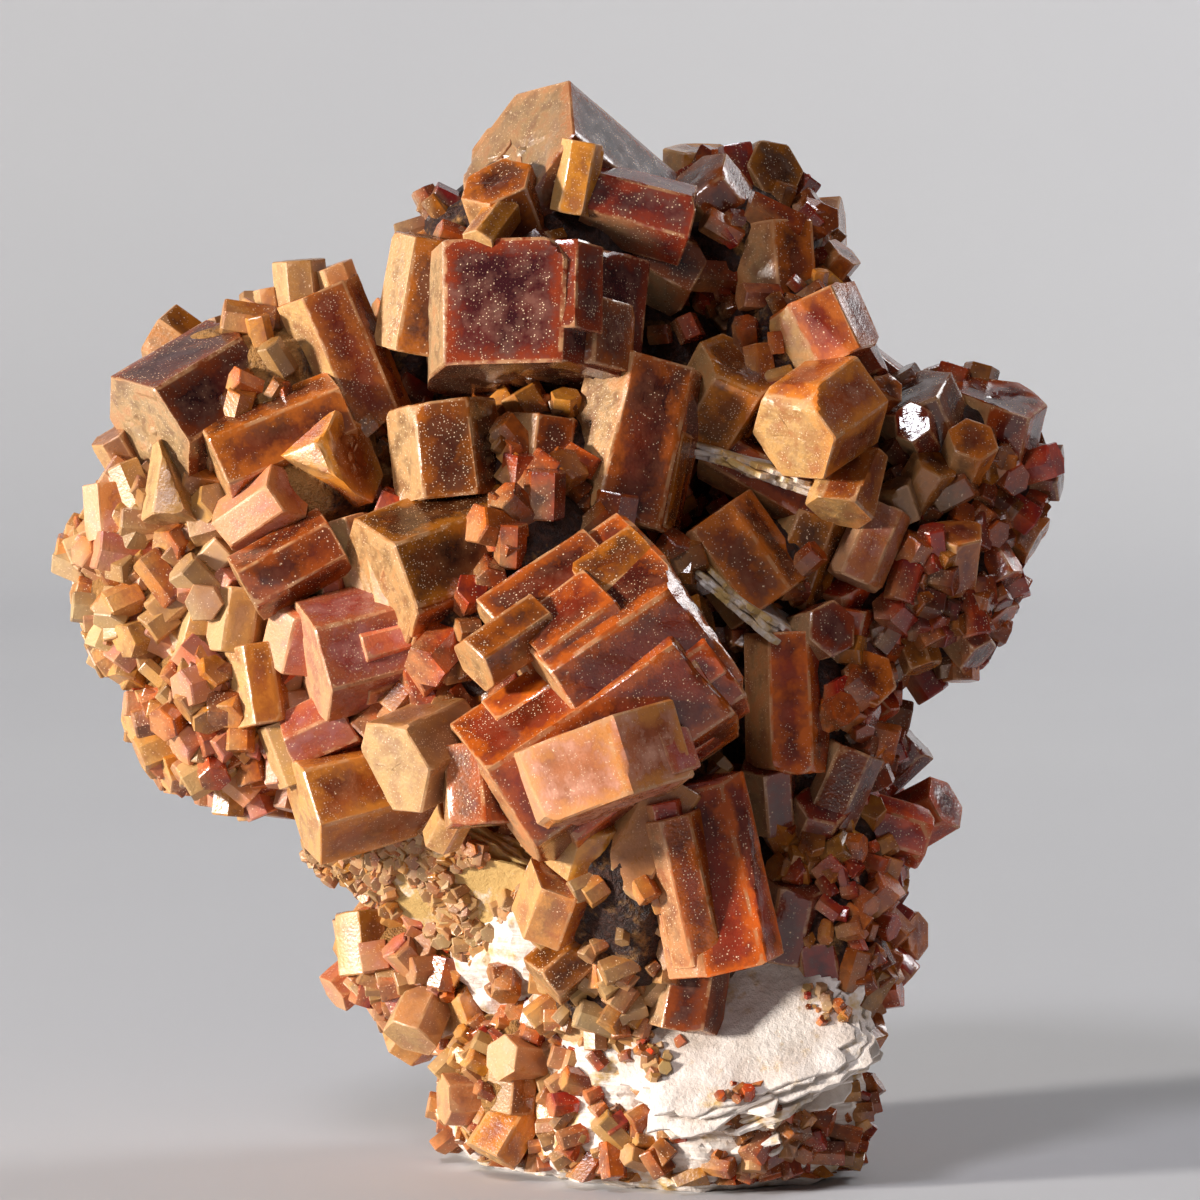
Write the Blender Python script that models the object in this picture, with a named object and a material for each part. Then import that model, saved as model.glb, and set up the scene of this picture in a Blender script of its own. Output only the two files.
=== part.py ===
"""Vanadinite on matrix: red-brown six-sided crystals on white baryte, standing on its flat foot.

Places are given in millimetres as the specimen is seen from the front: across from the left,
up from just under the lowest crystal, and near towards the viewer. The eye is a little above
the specimen, so seen() turns such a place into a point of the upright part.
"""

import math
import random
from collections import namedtuple

import bmesh
import bpy
from mathutils import Matrix, Vector, noise

MM = 0.001
OBJECT_NAME = "vanadinite_on_matrix"

EYE_DISTANCE = 300.0  # mm from the eye to the middle of the specimen
EYE_TILT = math.radians(5)  # the eye looks down by this much
MIDDLE = (24.0, 22.4)  # across and up of the point that the eye looks at
FOOT_MIDDLE = (26.0, 0.7)  # across and near of the middle of the flat foot
FOOT_DROP = 22.9  # mm from the middle down to the surface it stands on

GAP = 0.3  # mm kept between two solids
CLEAR_OF_GROUND = 0.4  # mm kept under the lowest crystals
RIM_WIDTH = 6.5  # crystals at least this wide have a worn rim
RIM = 0.3  # mm taken off that rim
ROUGHNESS = 0.2  # of a lump's radius
SAME_PLANE = math.radians(0.6)
WELD = 0.002  # mm within which two corners are one
EMBEDDED = 0.55  # share of a small crystal's length that stands out of its lump

RIGHT = Vector((1, 0, 0))
TOWARD = Vector((0, -math.cos(EYE_TILT), math.sin(EYE_TILT)))
UPWARD = Vector((0, math.sin(EYE_TILT), math.cos(EYE_TILT)))

Prism = namedtuple("Prism", "centre axis side width length")
Lump = namedtuple("Lump", "across up near wide deep tall finer seed")
Blade = namedtuple("Blade", "across up near heading lean spin long wide thick")
Sprouts = namedtuple("Sprouts", "lump count least most facing limit seed")

BACK = Vector((0, 1, 0))
LEFT = Vector((-1, 0, 0))
DOWN = Vector((0, 0, -1))

# Each crystal: across, up, near, heading of its axis in the picture, lean of its axis towards
# the viewer, roll about its axis (degrees), width from corner to corner, length.
CRYSTALS = {
    "centre_crystals": [
        (26.6, 18.6, 8.6, 214, 4, 45, 5.2, 5.0),
        (22.2, 22.0, 8.0, 214, 14, 35, 4.6, 5.2),
        (25.3, 28.6, 3.6, 77, -6, 12, 5.4, 6.6),
        (17.9, 28.3, 5.0, 97, -4, 2, 4.6, 3.8),
        (21.6, 27.8, 4.2, 84, -4, 20, 3.5, 3.8),
        (17.8, 24.0, 6.0, 200, 26, 0, 5.8, 6.0),
        (24.6, 20.0, 7.0, 214, 10, 45, 10.2, 6.4),
        (23.8, 17.2, 8.4, 214, 6, 45, 7.4, 9.4),
        (20.3, 20.7, 10.4, 214, 22, 30, 2.6, 3.4),
        (14.8, 20.6, 5.6, 195, 15, 0, 5.2, 5.0),
        (14.5, 23.9, 5.0, 105, 0, 20, 1.9, 3.8),
        (15.6, 22.7, 6.6, 100, 0, 20, 1.5, 3.2),
        (17.0, 16.3, 8.0, 205, 40, 10, 4.2, 3.4),
        (19.0, 15.0, 9.0, 275, 5, 20, 2.8, 3.2),
        (14.9, 14.8, 4.0, 195, 15, 10, 4.6, 5.8),
        (17.9, 13.3, 6.2, 60, 40, 0, 1.7, 1.7),
        (24.0, 15.6, 10.6, 110, -6, -17, 7.6, 3.1),
        (25.5, 13.1, 7.0, 60, -5, 10, 4.0, 4.8),
        (28.3, 11.4, 7.4, 102, 3, 8, 4.7, 7.4),
        (22.3, 10.5, 6.6, 70, 40, 0, 3.2, 2.9),
        (23.0, 8.2, 5.0, 40, -10, 10, 2.6, 3.4),
        (25.4, 9.1, 4.8, 120, 0, 0, 2.5, 3.4),
        (23.4, 12.8, 7.4, 75, 30, 20, 3.0, 2.4),
        (27.6, 7.0, 4.8, 80, 0, 0, 3.1, 3.6),
        (25.8, 6.4, 4.1, 70, 0, 0, 1.9, 3.8),
    ],
    "crown_crystals": [
        (23.0, 38.6, 0.0, 143, 32, 0, 6.8, 6.8),
        (21.3, 33.4, 3.2, 88, -12, 46, 9.6, 5.0),
        (17.0, 34.6, 2.8, 80, 5, 10, 3.6, 4.6),
        (20.3, 38.0, 3.6, 110, 35, 10, 3.2, 2.8),
        (23.1, 39.3, 3.9, 80, 5, 0, 1.8, 2.9),
        (19.7, 37.3, 5.4, 235, 40, 0, 1.6, 2.4),
        (25.4, 37.9, 2.6, 165, 5, 10, 3.4, 4.4),
        (26.3, 36.0, 1.0, 150, 0, 10, 3.8, 3.6),
    ],
    "left_crystals": [
        (13.8, 32.1, 2.4, 113, 5, 10, 3.7, 5.8),
        (12.0, 35.1, 2.2, 95, 5, 0, 2.2, 1.8),
        (13.5, 34.9, 2.2, 110, 5, 10, 2.0, 1.8),
        (8.0, 30.3, 2.2, 213, 28, 0, 5.7, 5.2),
        (11.2, 28.8, 4.0, 203, 10, 0, 3.7, 5.6),
        (12.8, 27.6, 4.4, 20, 30, 0, 3.9, 3.4),
        (10.4, 26.0, 5.0, 33, 30, 0, 2.7, 3.2),
        (7.2, 27.0, 3.4, 262, 15, 10, 2.8, 3.2),
        (4.8, 28.2, 1.2, 120, 20, 0, 1.7, 1.9),
        (10.8, 34.0, 1.8, 100, 0, 0, 1.2, 1.7),
        (10.2, 32.9, 1.0, 60, 0, 0, 2.6, 2.4),
        (4.4, 25.9, 1.9, 95, -5, 15, 2.2, 2.3),
        (4.8, 23.9, 1.4, 80, 20, 0, 2.0, 1.9),
        (7.1, 24.6, 2.4, 60, 10, 0, 1.9, 2.2),
        (8.6, 24.1, 3.1, 45, 20, 0, 2.2, 1.9),
        (6.2, 23.8, 2.4, 60, 20, 0, 1.3, 1.3),
        (7.7, 23.3, 3.1, 50, 0, 0, 1.7, 1.9),
        (7.0, 22.4, 2.9, 40, 10, 0, 2.1, 1.9),
        (7.9, 21.2, 3.1, 75, 0, 0, 1.8, 2.6),
        (9.5, 21.5, 3.8, 82, -5, 10, 2.4, 2.6),
        (11.6, 23.8, 5.5, 209, 5, 0, 3.0, 4.1),
        (11.9, 21.1, 4.8, 75, 25, 20, 2.8, 2.6),
        (10.4, 19.0, 4.3, 99, -4, 8, 2.5, 3.2),
        (8.7, 18.8, 3.4, 92, 0, 5, 1.8, 3.0),
        (12.8, 17.3, 4.6, 25, 10, 20, 2.8, 2.8),
        (11.8, 16.4, 3.8, 290, 0, 10, 2.4, 2.6),
        (13.3, 22.3, 5.0, 95, 0, 0, 1.3, 2.2),
        (6.6, 18.2, 1.2, 100, 0, 0, 2.0, 1.9),
        (8.0, 17.0, 1.7, 60, 20, 0, 2.0, 1.9),
        (9.4, 16.4, 2.4, 300, 20, 0, 2.2, 1.9),
        (7.4, 15.8, 1.2, 200, 20, 0, 1.8, 1.9),
        (10.4, 15.6, 1.9, 280, 20, 0, 1.8, 1.9),
        (6.0, 17.6, 0.7, 200, 20, 0, 1.7, 1.9),
    ],
    "arm_crystals": [
        (39.5, 28.5, -2.2, 80, 22, 10, 4.2, 4.6),
        (37.1, 28.9, -0.8, 115, 22, 0, 4.2, 4.2),
        (41.2, 27.6, -3.2, 355, 10, 0, 2.4, 2.6),
        (40.5, 25.3, -2.6, 330, 10, 10, 2.2, 2.4),
        (38.6, 28.1, 0.8, 70, 50, 0, 2.2, 2.4),
        (34.8, 24.6, 2.4, 66, -8, 0, 2.3, 3.3),
        (38.2, 24.1, 0.8, 85, 35, 30, 2.3, 2.6),
        (36.4, 23.6, 1.2, 60, 5, 0, 1.4, 1.8),
        (38.2, 21.1, -0.6, 312, 20, 30, 2.0, 2.9),
        (36.5, 20.9, 0.0, 290, 12, 10, 1.8, 2.7),
        (36.9, 27.0, 1.0, 60, 30, 0, 2.1, 2.4),
        (39.6, 24.0, -1.0, 300, 20, 0, 2.0, 2.4),
        (39.6, 22.3, -1.6, 310, 20, 0, 1.7, 1.8),
        (36.0, 26.3, 1.8, 110, 20, 10, 1.6, 1.6),
    ],
    "ridge_crystals": [
        (30.3, 39.2, -2.4, 30, 50, 0, 2.9, 2.6),
        (31.9, 37.2, -2.4, 10, 20, 10, 2.2, 2.4),
        (28.9, 38.0, -0.6, 130, 25, 0, 3.2, 3.6),
        (31.0, 35.5, 0.0, 94, -5, 30, 3.8, 3.8),
        (33.2, 35.6, -1.4, 50, 20, 20, 1.8, 2.0),
        (32.9, 33.1, 2.4, 115, -5, 3, 4.2, 2.8),
        (32.8, 29.7, 4.1, 215, 42, 0, 4.4, 3.6),
        (28.9, 30.6, 2.6, 60, 30, 10, 3.8, 3.4),
        (33.9, 27.2, 3.6, 255, 25, 10, 2.9, 2.9),
        (30.6, 27.3, 1.8, 330, 5, 0, 2.8, 5.2),
        (34.4, 31.8, 0.6, 30, 20, 10, 1.8, 1.9),
        (35.1, 30.5, 1.0, 40, 50, 10, 1.6, 1.7),
    ],
    "right_crystals": [
        (33.4, 20.6, 1.4, 80, 10, 10, 2.8, 3.4),
        (33.6, 15.2, 1.8, 110, 30, 0, 2.6, 2.6),
        (32.6, 13.4, 3.0, 70, 40, 10, 2.4, 2.4),
        (33.4, 10.6, 2.2, 100, 35, 20, 2.8, 2.8),
        (30.8, 14.6, 3.6, 95, 25, 20, 2.4, 2.8),
        (34.2, 4.8, 1.6, 60, 35, 0, 2.2, 2.2),
        (33.0, 3.6, 2.0, 20, 45, 0, 1.8, 1.8),
        (34.6, 18.2, -0.6, 40, 30, 10, 2.2, 2.4),
        (31.6, 9.6, 3.6, 80, 15, 0, 2.6, 3.2),
        (31.5, 18.3, 3.6, 92, 0, 5, 3.4, 5.6),
        (29.6, 24.0, 3.1, 125, 0, 0, 4.0, 4.2),
        (32.0, 24.0, 1.9, 70, 0, 0, 3.0, 3.8),
        (35.9, 16.0, -2.4, 45, 10, 0, 2.0, 2.2),
        (36.8, 13.8, -1.9, 30, 30, 0, 2.6, 2.6),
        (35.2, 12.6, -1.0, 95, 0, 0, 2.1, 2.9),
        (35.8, 9.0, -1.8, 0, 30, 0, 2.1, 2.2),
        (32.8, 7.4, 2.9, 100, 10, 0, 3.0, 3.1),
    ],
    "foot_crystals": [
        (14.5, 8.6, -4.8, 100, 10, 0, 2.2, 2.6),
        (15.3, 7.0, -4.8, 300, 20, 0, 2.1, 2.4),
        (14.1, 7.3, -5.3, 220, 20, 0, 1.9, 2.2),
        (16.6, 9.0, -3.6, 100, 20, 0, 2.1, 2.2),
        (18.9, 6.1, -1.2, 20, 60, 0, 2.9, 2.9),
        (21.3, 5.8, 0.7, 95, 5, 20, 1.9, 3.6),
        (23.8, 6.2, 3.1, 200, 40, 0, 2.9, 2.8),
        (20.6, 3.4, 1.7, 85, 10, 25, 2.4, 2.8),
        (20.4, 1.4, 1.2, 240, 10, 25, 2.5, 3.0),
        (22.5, 1.5, 1.7, 280, 10, 25, 2.4, 2.6),
    ],
}

# The rough ground that each group of crystals grows from, and the baryte under all of them:
# across, up, near, then its radii across, in depth and upwards, how fine it is, its seed.
LUMPS = {
    "matrix": [
        Lump(27.4, 2.6, -1.0, 6.6, 6.4, 5.0, 2, 1),
        Lump(22.8, 3.2, -3.6, 4.8, 5.4, 5.2, 1, 7),
        Lump(25.0, 10.5, -2.4, 7.8, 7.6, 8.6, 2, 2),
        Lump(21.0, 21.0, -3.4, 9.8, 6.8, 9.2, 2, 3),
        Lump(22.5, 30.5, -3.2, 7.6, 5.6, 6.6, 2, 4),
        Lump(11.5, 24.0, -2.8, 6.4, 4.6, 6.2, 1, 5),
        Lump(32.5, 25.5, -3.8, 6.6, 4.6, 5.6, 1, 6),
    ],
    "centre_crystals": [
        Lump(20.5, 21.5, 3.6, 6.6, 4.6, 5.8, 1, 11),
        Lump(22.0, 27.0, 1.8, 4.6, 4.0, 3.4, 1, 12),
        Lump(25.6, 12.0, 4.6, 3.8, 3.8, 4.8, 1, 13),
        Lump(25.0, 7.2, 2.8, 3.0, 2.8, 2.8, 1, 14),
    ],
    "crown_crystals": [Lump(22.0, 36.4, -0.8, 4.8, 4.8, 3.8, 1, 15)],
    "left_crystals": [
        Lump(10.4, 29.6, 0.4, 3.8, 4.0, 4.0, 1, 16),
        Lump(12.4, 27.2, 2.0, 3.2, 3.2, 3.2, 1, 17),
        Lump(7.6, 23.6, 0.0, 4.0, 3.6, 4.2, 1, 25),
        Lump(10.0, 18.6, 0.6, 4.2, 3.8, 3.8, 1, 26),
    ],
    "arm_crystals": [
        Lump(37.8, 27.4, -3.2, 3.4, 3.8, 3.4, 1, 18),
        Lump(36.2, 23.4, -2.2, 4.0, 3.8, 3.6, 1, 19),
    ],
    "ridge_crystals": [
        Lump(29.6, 36.0, -2.8, 3.2, 4.0, 3.6, 1, 20),
        Lump(31.6, 31.2, -0.6, 3.0, 3.8, 4.4, 1, 21),
    ],
    "right_crystals": [
        Lump(32.0, 17.6, -0.6, 3.4, 4.4, 5.6, 1, 22),
        Lump(32.6, 10.4, -0.4, 3.0, 4.6, 5.8, 1, 23),
        Lump(30.8, 23.2, 0.2, 3.0, 3.2, 3.0, 1, 24),
    ],
    "foot_crystals": [
        Lump(18.4, 8.0, -3.2, 3.8, 3.6, 3.0, 1, 27),
        Lump(20.6, 3.6, -0.6, 2.4, 2.8, 2.8, 1, 28),
    ],
    "back_crystals": [
        Lump(22.0, 30.0, -6.6, 6.8, 3.8, 6.6, 1, 29),
        Lump(21.5, 18.5, -7.4, 7.8, 4.0, 8.6, 1, 30),
        Lump(26.5, 9.5, -7.6, 6.2, 3.6, 4.8, 1, 31),
    ],
}

# Thin tablets of baryte: across, up, near, heading and lean of the tablet's normal, spin of
# its long side, long side, short side, thickness.
BLADES = [
    Blade(18.6, 11.0, 2.2, 236, 56, -33, 12.5, 4.8, 1.6),
    Blade(29.8, 4.6, 4.2, 100, 62, 22, 8.6, 5.4, 2.2),
    Blade(30.4, 28.0, 0.6, 72, 10, 0, 6.5, 6.0, 0.7),
    Blade(30.0, 22.6, 2.2, 52, 12, 0, 6.0, 5.0, 0.7),
    Blade(28.4, 3.4, 1.0, 110, 25, 0, 10.0, 7.0, 2.6),
]

# The smaller crystals that cover the sides away from the viewer, and the druses: the lump that
# they grow on, their number, least and most width, the way that they face and how strictly.
SPROUTS = {
    "centre_crystals": [],
    "crown_crystals": [Sprouts(0, 7, 3.2, 4.6, BACK, 0.3, 31)],
    "left_crystals": [
        Sprouts(0, 6, 2.8, 4.0, BACK, 0.2, 32),
        Sprouts(2, 5, 2.4, 3.2, BACK, 0.3, 39),
        Sprouts(3, 5, 2.2, 3.0, BACK, 0.3, 40),
    ],
    "arm_crystals": [
        Sprouts(0, 6, 2.6, 3.6, BACK, 0.0, 33),
        Sprouts(1, 5, 2.0, 2.8, DOWN, 0.2, 34),
    ],
    "ridge_crystals": [
        Sprouts(0, 5, 2.6, 3.8, BACK, 0.0, 35),
        Sprouts(1, 3, 2.2, 3.2, BACK, 0.2, 36),
    ],
    "right_crystals": [
        Sprouts(0, 6, 2.2, 3.0, RIGHT, 0.1, 37),
        Sprouts(1, 6, 2.2, 3.0, RIGHT, 0.0, 38),
    ],
    "foot_crystals": [
        Sprouts(0, 5, 1.8, 2.6, LEFT, -0.2, 41),
        Sprouts(1, 3, 1.8, 2.4, LEFT, -0.2, 42),
    ],
    "back_crystals": [
        Sprouts(0, 11, 3.4, 5.2, BACK, 0.0, 43),
        Sprouts(1, 14, 3.4, 5.8, BACK, 0.0, 44),
        Sprouts(2, 8, 3.2, 5.0, BACK, 0.0, 45),
    ],
}

# Earlier groups are whole, and later ones give way to them.
GROUP_ORDER = [
    "centre_crystals",
    "crown_crystals",
    "left_crystals",
    "arm_crystals",
    "ridge_crystals",
    "right_crystals",
    "foot_crystals",
    "back_crystals",
]

# Base colour, roughness.
FINISHES = {
    "matrix": ((0.82, 0.74, 0.64), 0.7),
    "centre_crystals": ((0.36, 0.07, 0.02), 0.25),
    "crown_crystals": ((0.20, 0.05, 0.04), 0.2),
    "left_crystals": ((0.52, 0.26, 0.12), 0.4),
    "arm_crystals": ((0.26, 0.06, 0.04), 0.25),
    "ridge_crystals": ((0.38, 0.12, 0.03), 0.3),
    "right_crystals": ((0.30, 0.04, 0.02), 0.25),
    "foot_crystals": ((0.48, 0.18, 0.08), 0.4),
    "back_crystals": ((0.30, 0.07, 0.03), 0.3),
}


def seen(across, up, near):
    """Point in mm, measured from the middle of the foot, of a place as seen from the front."""
    shrink = (EYE_DISTANCE - near) / EYE_DISTANCE
    from_middle = shrink * ((across - MIDDLE[0]) * RIGHT + (up - MIDDLE[1]) * UPWARD)
    foot = (FOOT_MIDDLE[0] - MIDDLE[0]) * RIGHT + Vector((0, -FOOT_MIDDLE[1], -FOOT_DROP))
    return from_middle + near * TOWARD - foot


def seen_direction(heading, lean):
    """Direction with this angle in the picture and this lean towards the viewer, in degrees."""
    turn, tip = math.radians(heading), math.radians(lean)
    flat = math.cos(turn) * RIGHT + math.sin(turn) * UPWARD
    return math.cos(tip) * flat + math.sin(tip) * TOWARD


def across_axis(axis, roll):
    """Unit vector square to the axis, turned by roll degrees from the side that faces the viewer."""
    side = TOWARD - TOWARD.dot(axis) * axis
    if side.length < 0.35:
        side = UPWARD - UPWARD.dot(axis) * axis
    return Matrix.Rotation(math.radians(roll), 3, axis) @ side.normalized()


def placed(row):
    """Prism of one row of CRYSTALS."""
    across, up, near, heading, lean, roll, width, length = row
    axis = seen_direction(heading, lean)
    return Prism(seen(across, up, near), axis, across_axis(axis, roll), width, length)


def frame_of(centre, axis, side):
    """Matrix that puts a shape made along Z, with a side towards X, at its place, in metres."""
    other = axis.cross(side)
    turn = Matrix((side, other, axis)).transposed().to_4x4()
    return Matrix.Translation(centre * MM) @ turn


def new_object(name, bm, collection):
    """Object of this name from a bmesh, which it frees."""
    bmesh.ops.recalc_face_normals(bm, faces=bm.faces)
    mesh = bpy.data.meshes.new(name)
    bm.to_mesh(mesh)
    bm.free()
    obj = bpy.data.objects.new(name, mesh)
    collection.objects.link(obj)
    return obj


def add_prism(prism, grow, collection):
    """One six-sided crystal with flat ends, grown by some mm on every side."""
    bm = bmesh.new()
    radius = prism.width / 2 + grow / math.cos(math.radians(30))
    bmesh.ops.create_cone(
        bm,
        cap_ends=True,
        segments=6,
        radius1=radius * MM,
        radius2=radius * MM,
        depth=(prism.length + 2 * grow) * MM,
    )
    if prism.width >= RIM_WIDTH:
        rims = [e for e in bm.edges if abs(e.verts[0].co.z - e.verts[1].co.z) < MM * 0.01]
        bmesh.ops.bevel(bm, geom=rims, offset=RIM * MM, segments=1, affect="EDGES")
    bm.transform(frame_of(prism.centre, prism.axis, prism.side))
    return new_object("crystal", bm, collection)


def surface_point(lump, direction, grow=0.0):
    """Point in mm on a lump's rough surface, in this direction from its middle."""
    bump = 1 + ROUGHNESS * noise.noise(direction * 1.6 + Vector((lump.seed * 7.3, 0, 0)))
    radii = Vector((lump.wide, lump.deep, lump.tall)) * bump
    radii += Vector((grow, grow, grow))
    return seen(lump.across, lump.up, lump.near) + Vector(
        (direction.x * radii.x, direction.y * radii.y, direction.z * radii.z)
    )


def add_lump(lump, grow, collection):
    """One rough lump, faceted like broken rock."""
    bm = bmesh.new()
    bmesh.ops.create_icosphere(bm, subdivisions=lump.finer, radius=1)
    for vertex in bm.verts:
        vertex.co = surface_point(lump, vertex.co.normalized(), grow) * MM
    return new_object("lump", bm, collection)


def add_blade(blade, grow, collection):
    """One baryte tablet: a flat slab whose corners are cut off."""
    bm = bmesh.new()
    size = (blade.long + 2 * grow, blade.wide + 2 * grow, blade.thick + 2 * grow)
    bmesh.ops.create_cube(bm, size=1)
    bmesh.ops.scale(bm, vec=Vector(size) * MM, verts=bm.verts)
    corners = [e for e in bm.edges if abs(e.verts[0].co.z - e.verts[1].co.z) > MM * 0.1]
    cut = 0.28 * blade.wide * MM
    bmesh.ops.bevel(bm, geom=corners, offset=cut, segments=1, affect="EDGES")
    normal = seen_direction(blade.heading, blade.lean)
    level = Vector((0, 0, 1)).cross(normal).normalized()
    side = Matrix.Rotation(math.radians(blade.spin), 3, normal) @ level
    bm.transform(frame_of(seen(blade.across, blade.up, blade.near), normal, side))
    return new_object("blade", bm, collection)


def inside(point, lump):
    """Whether a point in mm is well inside a lump."""
    offset = point - seen(lump.across, lump.up, lump.near)
    scaled = Vector((offset.x / lump.wide, offset.y / lump.deep, offset.z / lump.tall))
    return scaled.length < 0.92


def spread_directions(count, rng):
    """Directions spread evenly over a sphere, each moved a little."""
    golden = math.pi * (3 - math.sqrt(5))
    for k in range(count):
        z = 1 - (2 * k + 1) / count
        ring = math.sqrt(1 - z * z)
        point = Vector((ring * math.cos(golden * k), ring * math.sin(golden * k), z))
        yield (point + 0.22 * Vector(rng.gauss(0, 1) for _ in range(3))).normalized()


def sprout(group, sprouts):
    """Prisms that grow out of one lump, none of them from inside another lump."""
    rng = random.Random(sprouts.seed)
    lump = LUMPS[group][sprouts.lump]
    others = [o for lumps in LUMPS.values() for o in lumps if o is not lump]
    found = []
    for direction in spread_directions(2 * sprouts.count, rng):
        width = rng.uniform(sprouts.least, sprouts.most)
        length = width * rng.uniform(0.9, 1.35)
        tilt = 0.45 * Vector(rng.gauss(0, 1) for _ in range(3))
        roll = rng.uniform(0, 60)
        base = surface_point(lump, direction)
        if direction.dot(sprouts.facing) < sprouts.limit or any(inside(base, o) for o in others):
            continue
        axis = (direction + tilt).normalized()
        centre = base + (EMBEDDED - 0.5) * length * axis
        found.append(Prism(centre, axis, across_axis(axis, roll), width, length))
    return found


def new_collection(name, parent):
    """Collection of this name inside another."""
    collection = bpy.data.collections.new(name)
    parent.children.link(collection)
    return collection


def add_solids(group, grow, collection):
    """Every prism, lump and blade of one group, grown by some mm."""
    for lump in LUMPS[group]:
        add_lump(lump, grow, collection)
    if group == "matrix":
        for blade in BLADES:
            add_blade(blade, grow, collection)
        return
    prisms = [placed(row) for row in CRYSTALS.get(group, [])]
    for sprouts in SPROUTS[group]:
        prisms += sprout(group, sprouts)
    for prism in prisms:
        add_prism(prism, grow, collection)


def add_ground(top, collection):
    """Block that takes off everything lower than this height in mm."""
    bm = bmesh.new()
    side, depth = 80 * MM, 20 * MM
    bmesh.ops.create_cube(bm, size=1)
    bmesh.ops.scale(bm, vec=(side, side, depth), verts=bm.verts)
    bmesh.ops.translate(bm, vec=(0, 0, top * MM - depth / 2), verts=bm.verts)
    return new_object("ground", bm, collection)


def add_boolean(obj, operation, collection=None, other=None):
    """Exact Boolean of an object with another one, or with all that a collection holds."""
    modifier = obj.modifiers.new(operation.lower(), "BOOLEAN")
    modifier.operation = operation
    modifier.operand_type = "COLLECTION" if collection else "OBJECT"
    if collection:
        modifier.collection = collection
    else:
        modifier.object = other
    modifier.solver = "EXACT"


def body_volume(faces):
    """Six times the volume that a closed run of faces holds."""
    total = 0.0
    for face in faces:
        first = face.verts[0].co
        for a, b in zip(face.verts[1:-1], face.verts[2:]):
            total += first.dot(a.co.cross(b.co))
    return total


def bodies_of(bm):
    """The closed runs of faces in a mesh, largest first. A sealed hollow counts as negative."""
    left = set(bm.faces)
    bodies = []
    while left:
        queue = [left.pop()]
        body = list(queue)
        while queue:
            for edge in queue.pop().edges:
                for face in edge.link_faces:
                    if face in left:
                        left.remove(face)
                        body.append(face)
                        queue.append(face)
        bodies.append(body)
    return sorted(bodies, key=body_volume, reverse=True)


def settle(obj, only_largest):
    """Puts the evaluated shape into the object, without splinters and sealed hollows."""
    graph = bpy.context.evaluated_depsgraph_get()
    mesh = bpy.data.meshes.new_from_object(obj.evaluated_get(graph))
    bm = bmesh.new()
    bm.from_mesh(mesh)
    bmesh.ops.remove_doubles(bm, verts=bm.verts, dist=WELD * MM)
    bodies = bodies_of(bm)
    kept = 1 if only_largest else sum(body_volume(body) > 0 for body in bodies)
    loose = [face for body in bodies[kept:] for face in body]
    bmesh.ops.delete(bm, geom=loose, context="FACES")
    bmesh.ops.dissolve_limit(bm, angle_limit=SAME_PLANE, verts=bm.verts, edges=bm.edges)
    bmesh.ops.triangulate(bm, faces=bm.faces)
    bm.to_mesh(mesh)
    bm.free()
    obj.modifiers.clear()
    obj.data = mesh


def joined(name, group, grow, home, helpers):
    """One object from all the solids of a group, each grown by some mm."""
    own = new_collection(f"{name}_solids", helpers)
    add_solids(group, grow, own)
    first = own.objects[0]
    own.objects.unlink(first)
    first.name = name
    home.objects.link(first)
    add_boolean(first, "UNION", collection=own)
    settle(first, only_largest=False)
    hide(own)
    return first


def finish(name):
    """Material of one node."""
    colour, roughness = FINISHES[name]
    material = bpy.data.materials.new(name)
    material.use_nodes = True
    shader = material.node_tree.nodes["Principled BSDF"]
    shader.inputs["Base Color"].default_value = (*colour, 1)
    shader.inputs["Roughness"].default_value = roughness
    shader.inputs["Metallic"].default_value = 0
    return material


def hide(collection):
    """Keeps helpers out of the render."""
    for obj in collection.all_objects:
        obj.hide_render = True
        obj.display_type = "WIRE"


def boxes_meet(one, other):
    """Whether the boxes round two unmoved objects overlap."""
    a, b = one.bound_box, other.bound_box
    return all(a[0][k] < b[6][k] and b[0][k] < a[6][k] for k in range(3))


def build_group(name, cutters, parts, helpers):
    """One node: the union of its solids, less what the groups before it take up."""
    node = joined(name, name, 0.0, parts, helpers)
    for cutter in cutters:
        if boxes_meet(node, cutter):
            add_boolean(node, "DIFFERENCE", other=cutter)
    settle(node, only_largest=True)
    node.data.name = name
    node.data.materials.clear()
    node.data.materials.append(finish(name))


def main():
    for obj in list(bpy.data.objects):
        bpy.data.objects.remove(obj)
    scene = bpy.context.scene.collection
    parts = new_collection(OBJECT_NAME, scene)
    helpers = new_collection("helpers", scene)
    build_group("matrix", [add_ground(0.0, helpers)], parts, helpers)
    cutters = [add_ground(CLEAR_OF_GROUND, helpers)]
    cutters.append(joined("matrix_room", "matrix", GAP, helpers, helpers))
    for name in GROUP_ORDER:
        build_group(name, cutters, parts, helpers)
        cutters.append(joined(f"{name}_room", name, GAP, helpers, helpers))
    hide(helpers)


main()
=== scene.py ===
"""The looks of the vanadinite on matrix: its crystals, the druse between them and the baryte.

Places are given in millimetres as the specimen is seen from the front, as in the part's source:
across from the left, up from just under the lowest crystal, and near towards the viewer.
"""

import logging
import math
import random
from collections.abc import Iterator
from dataclasses import dataclass, field
from enum import Enum

import bmesh
import bpy
import numpy as np
from mathutils import Matrix, Vector, noise


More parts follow.
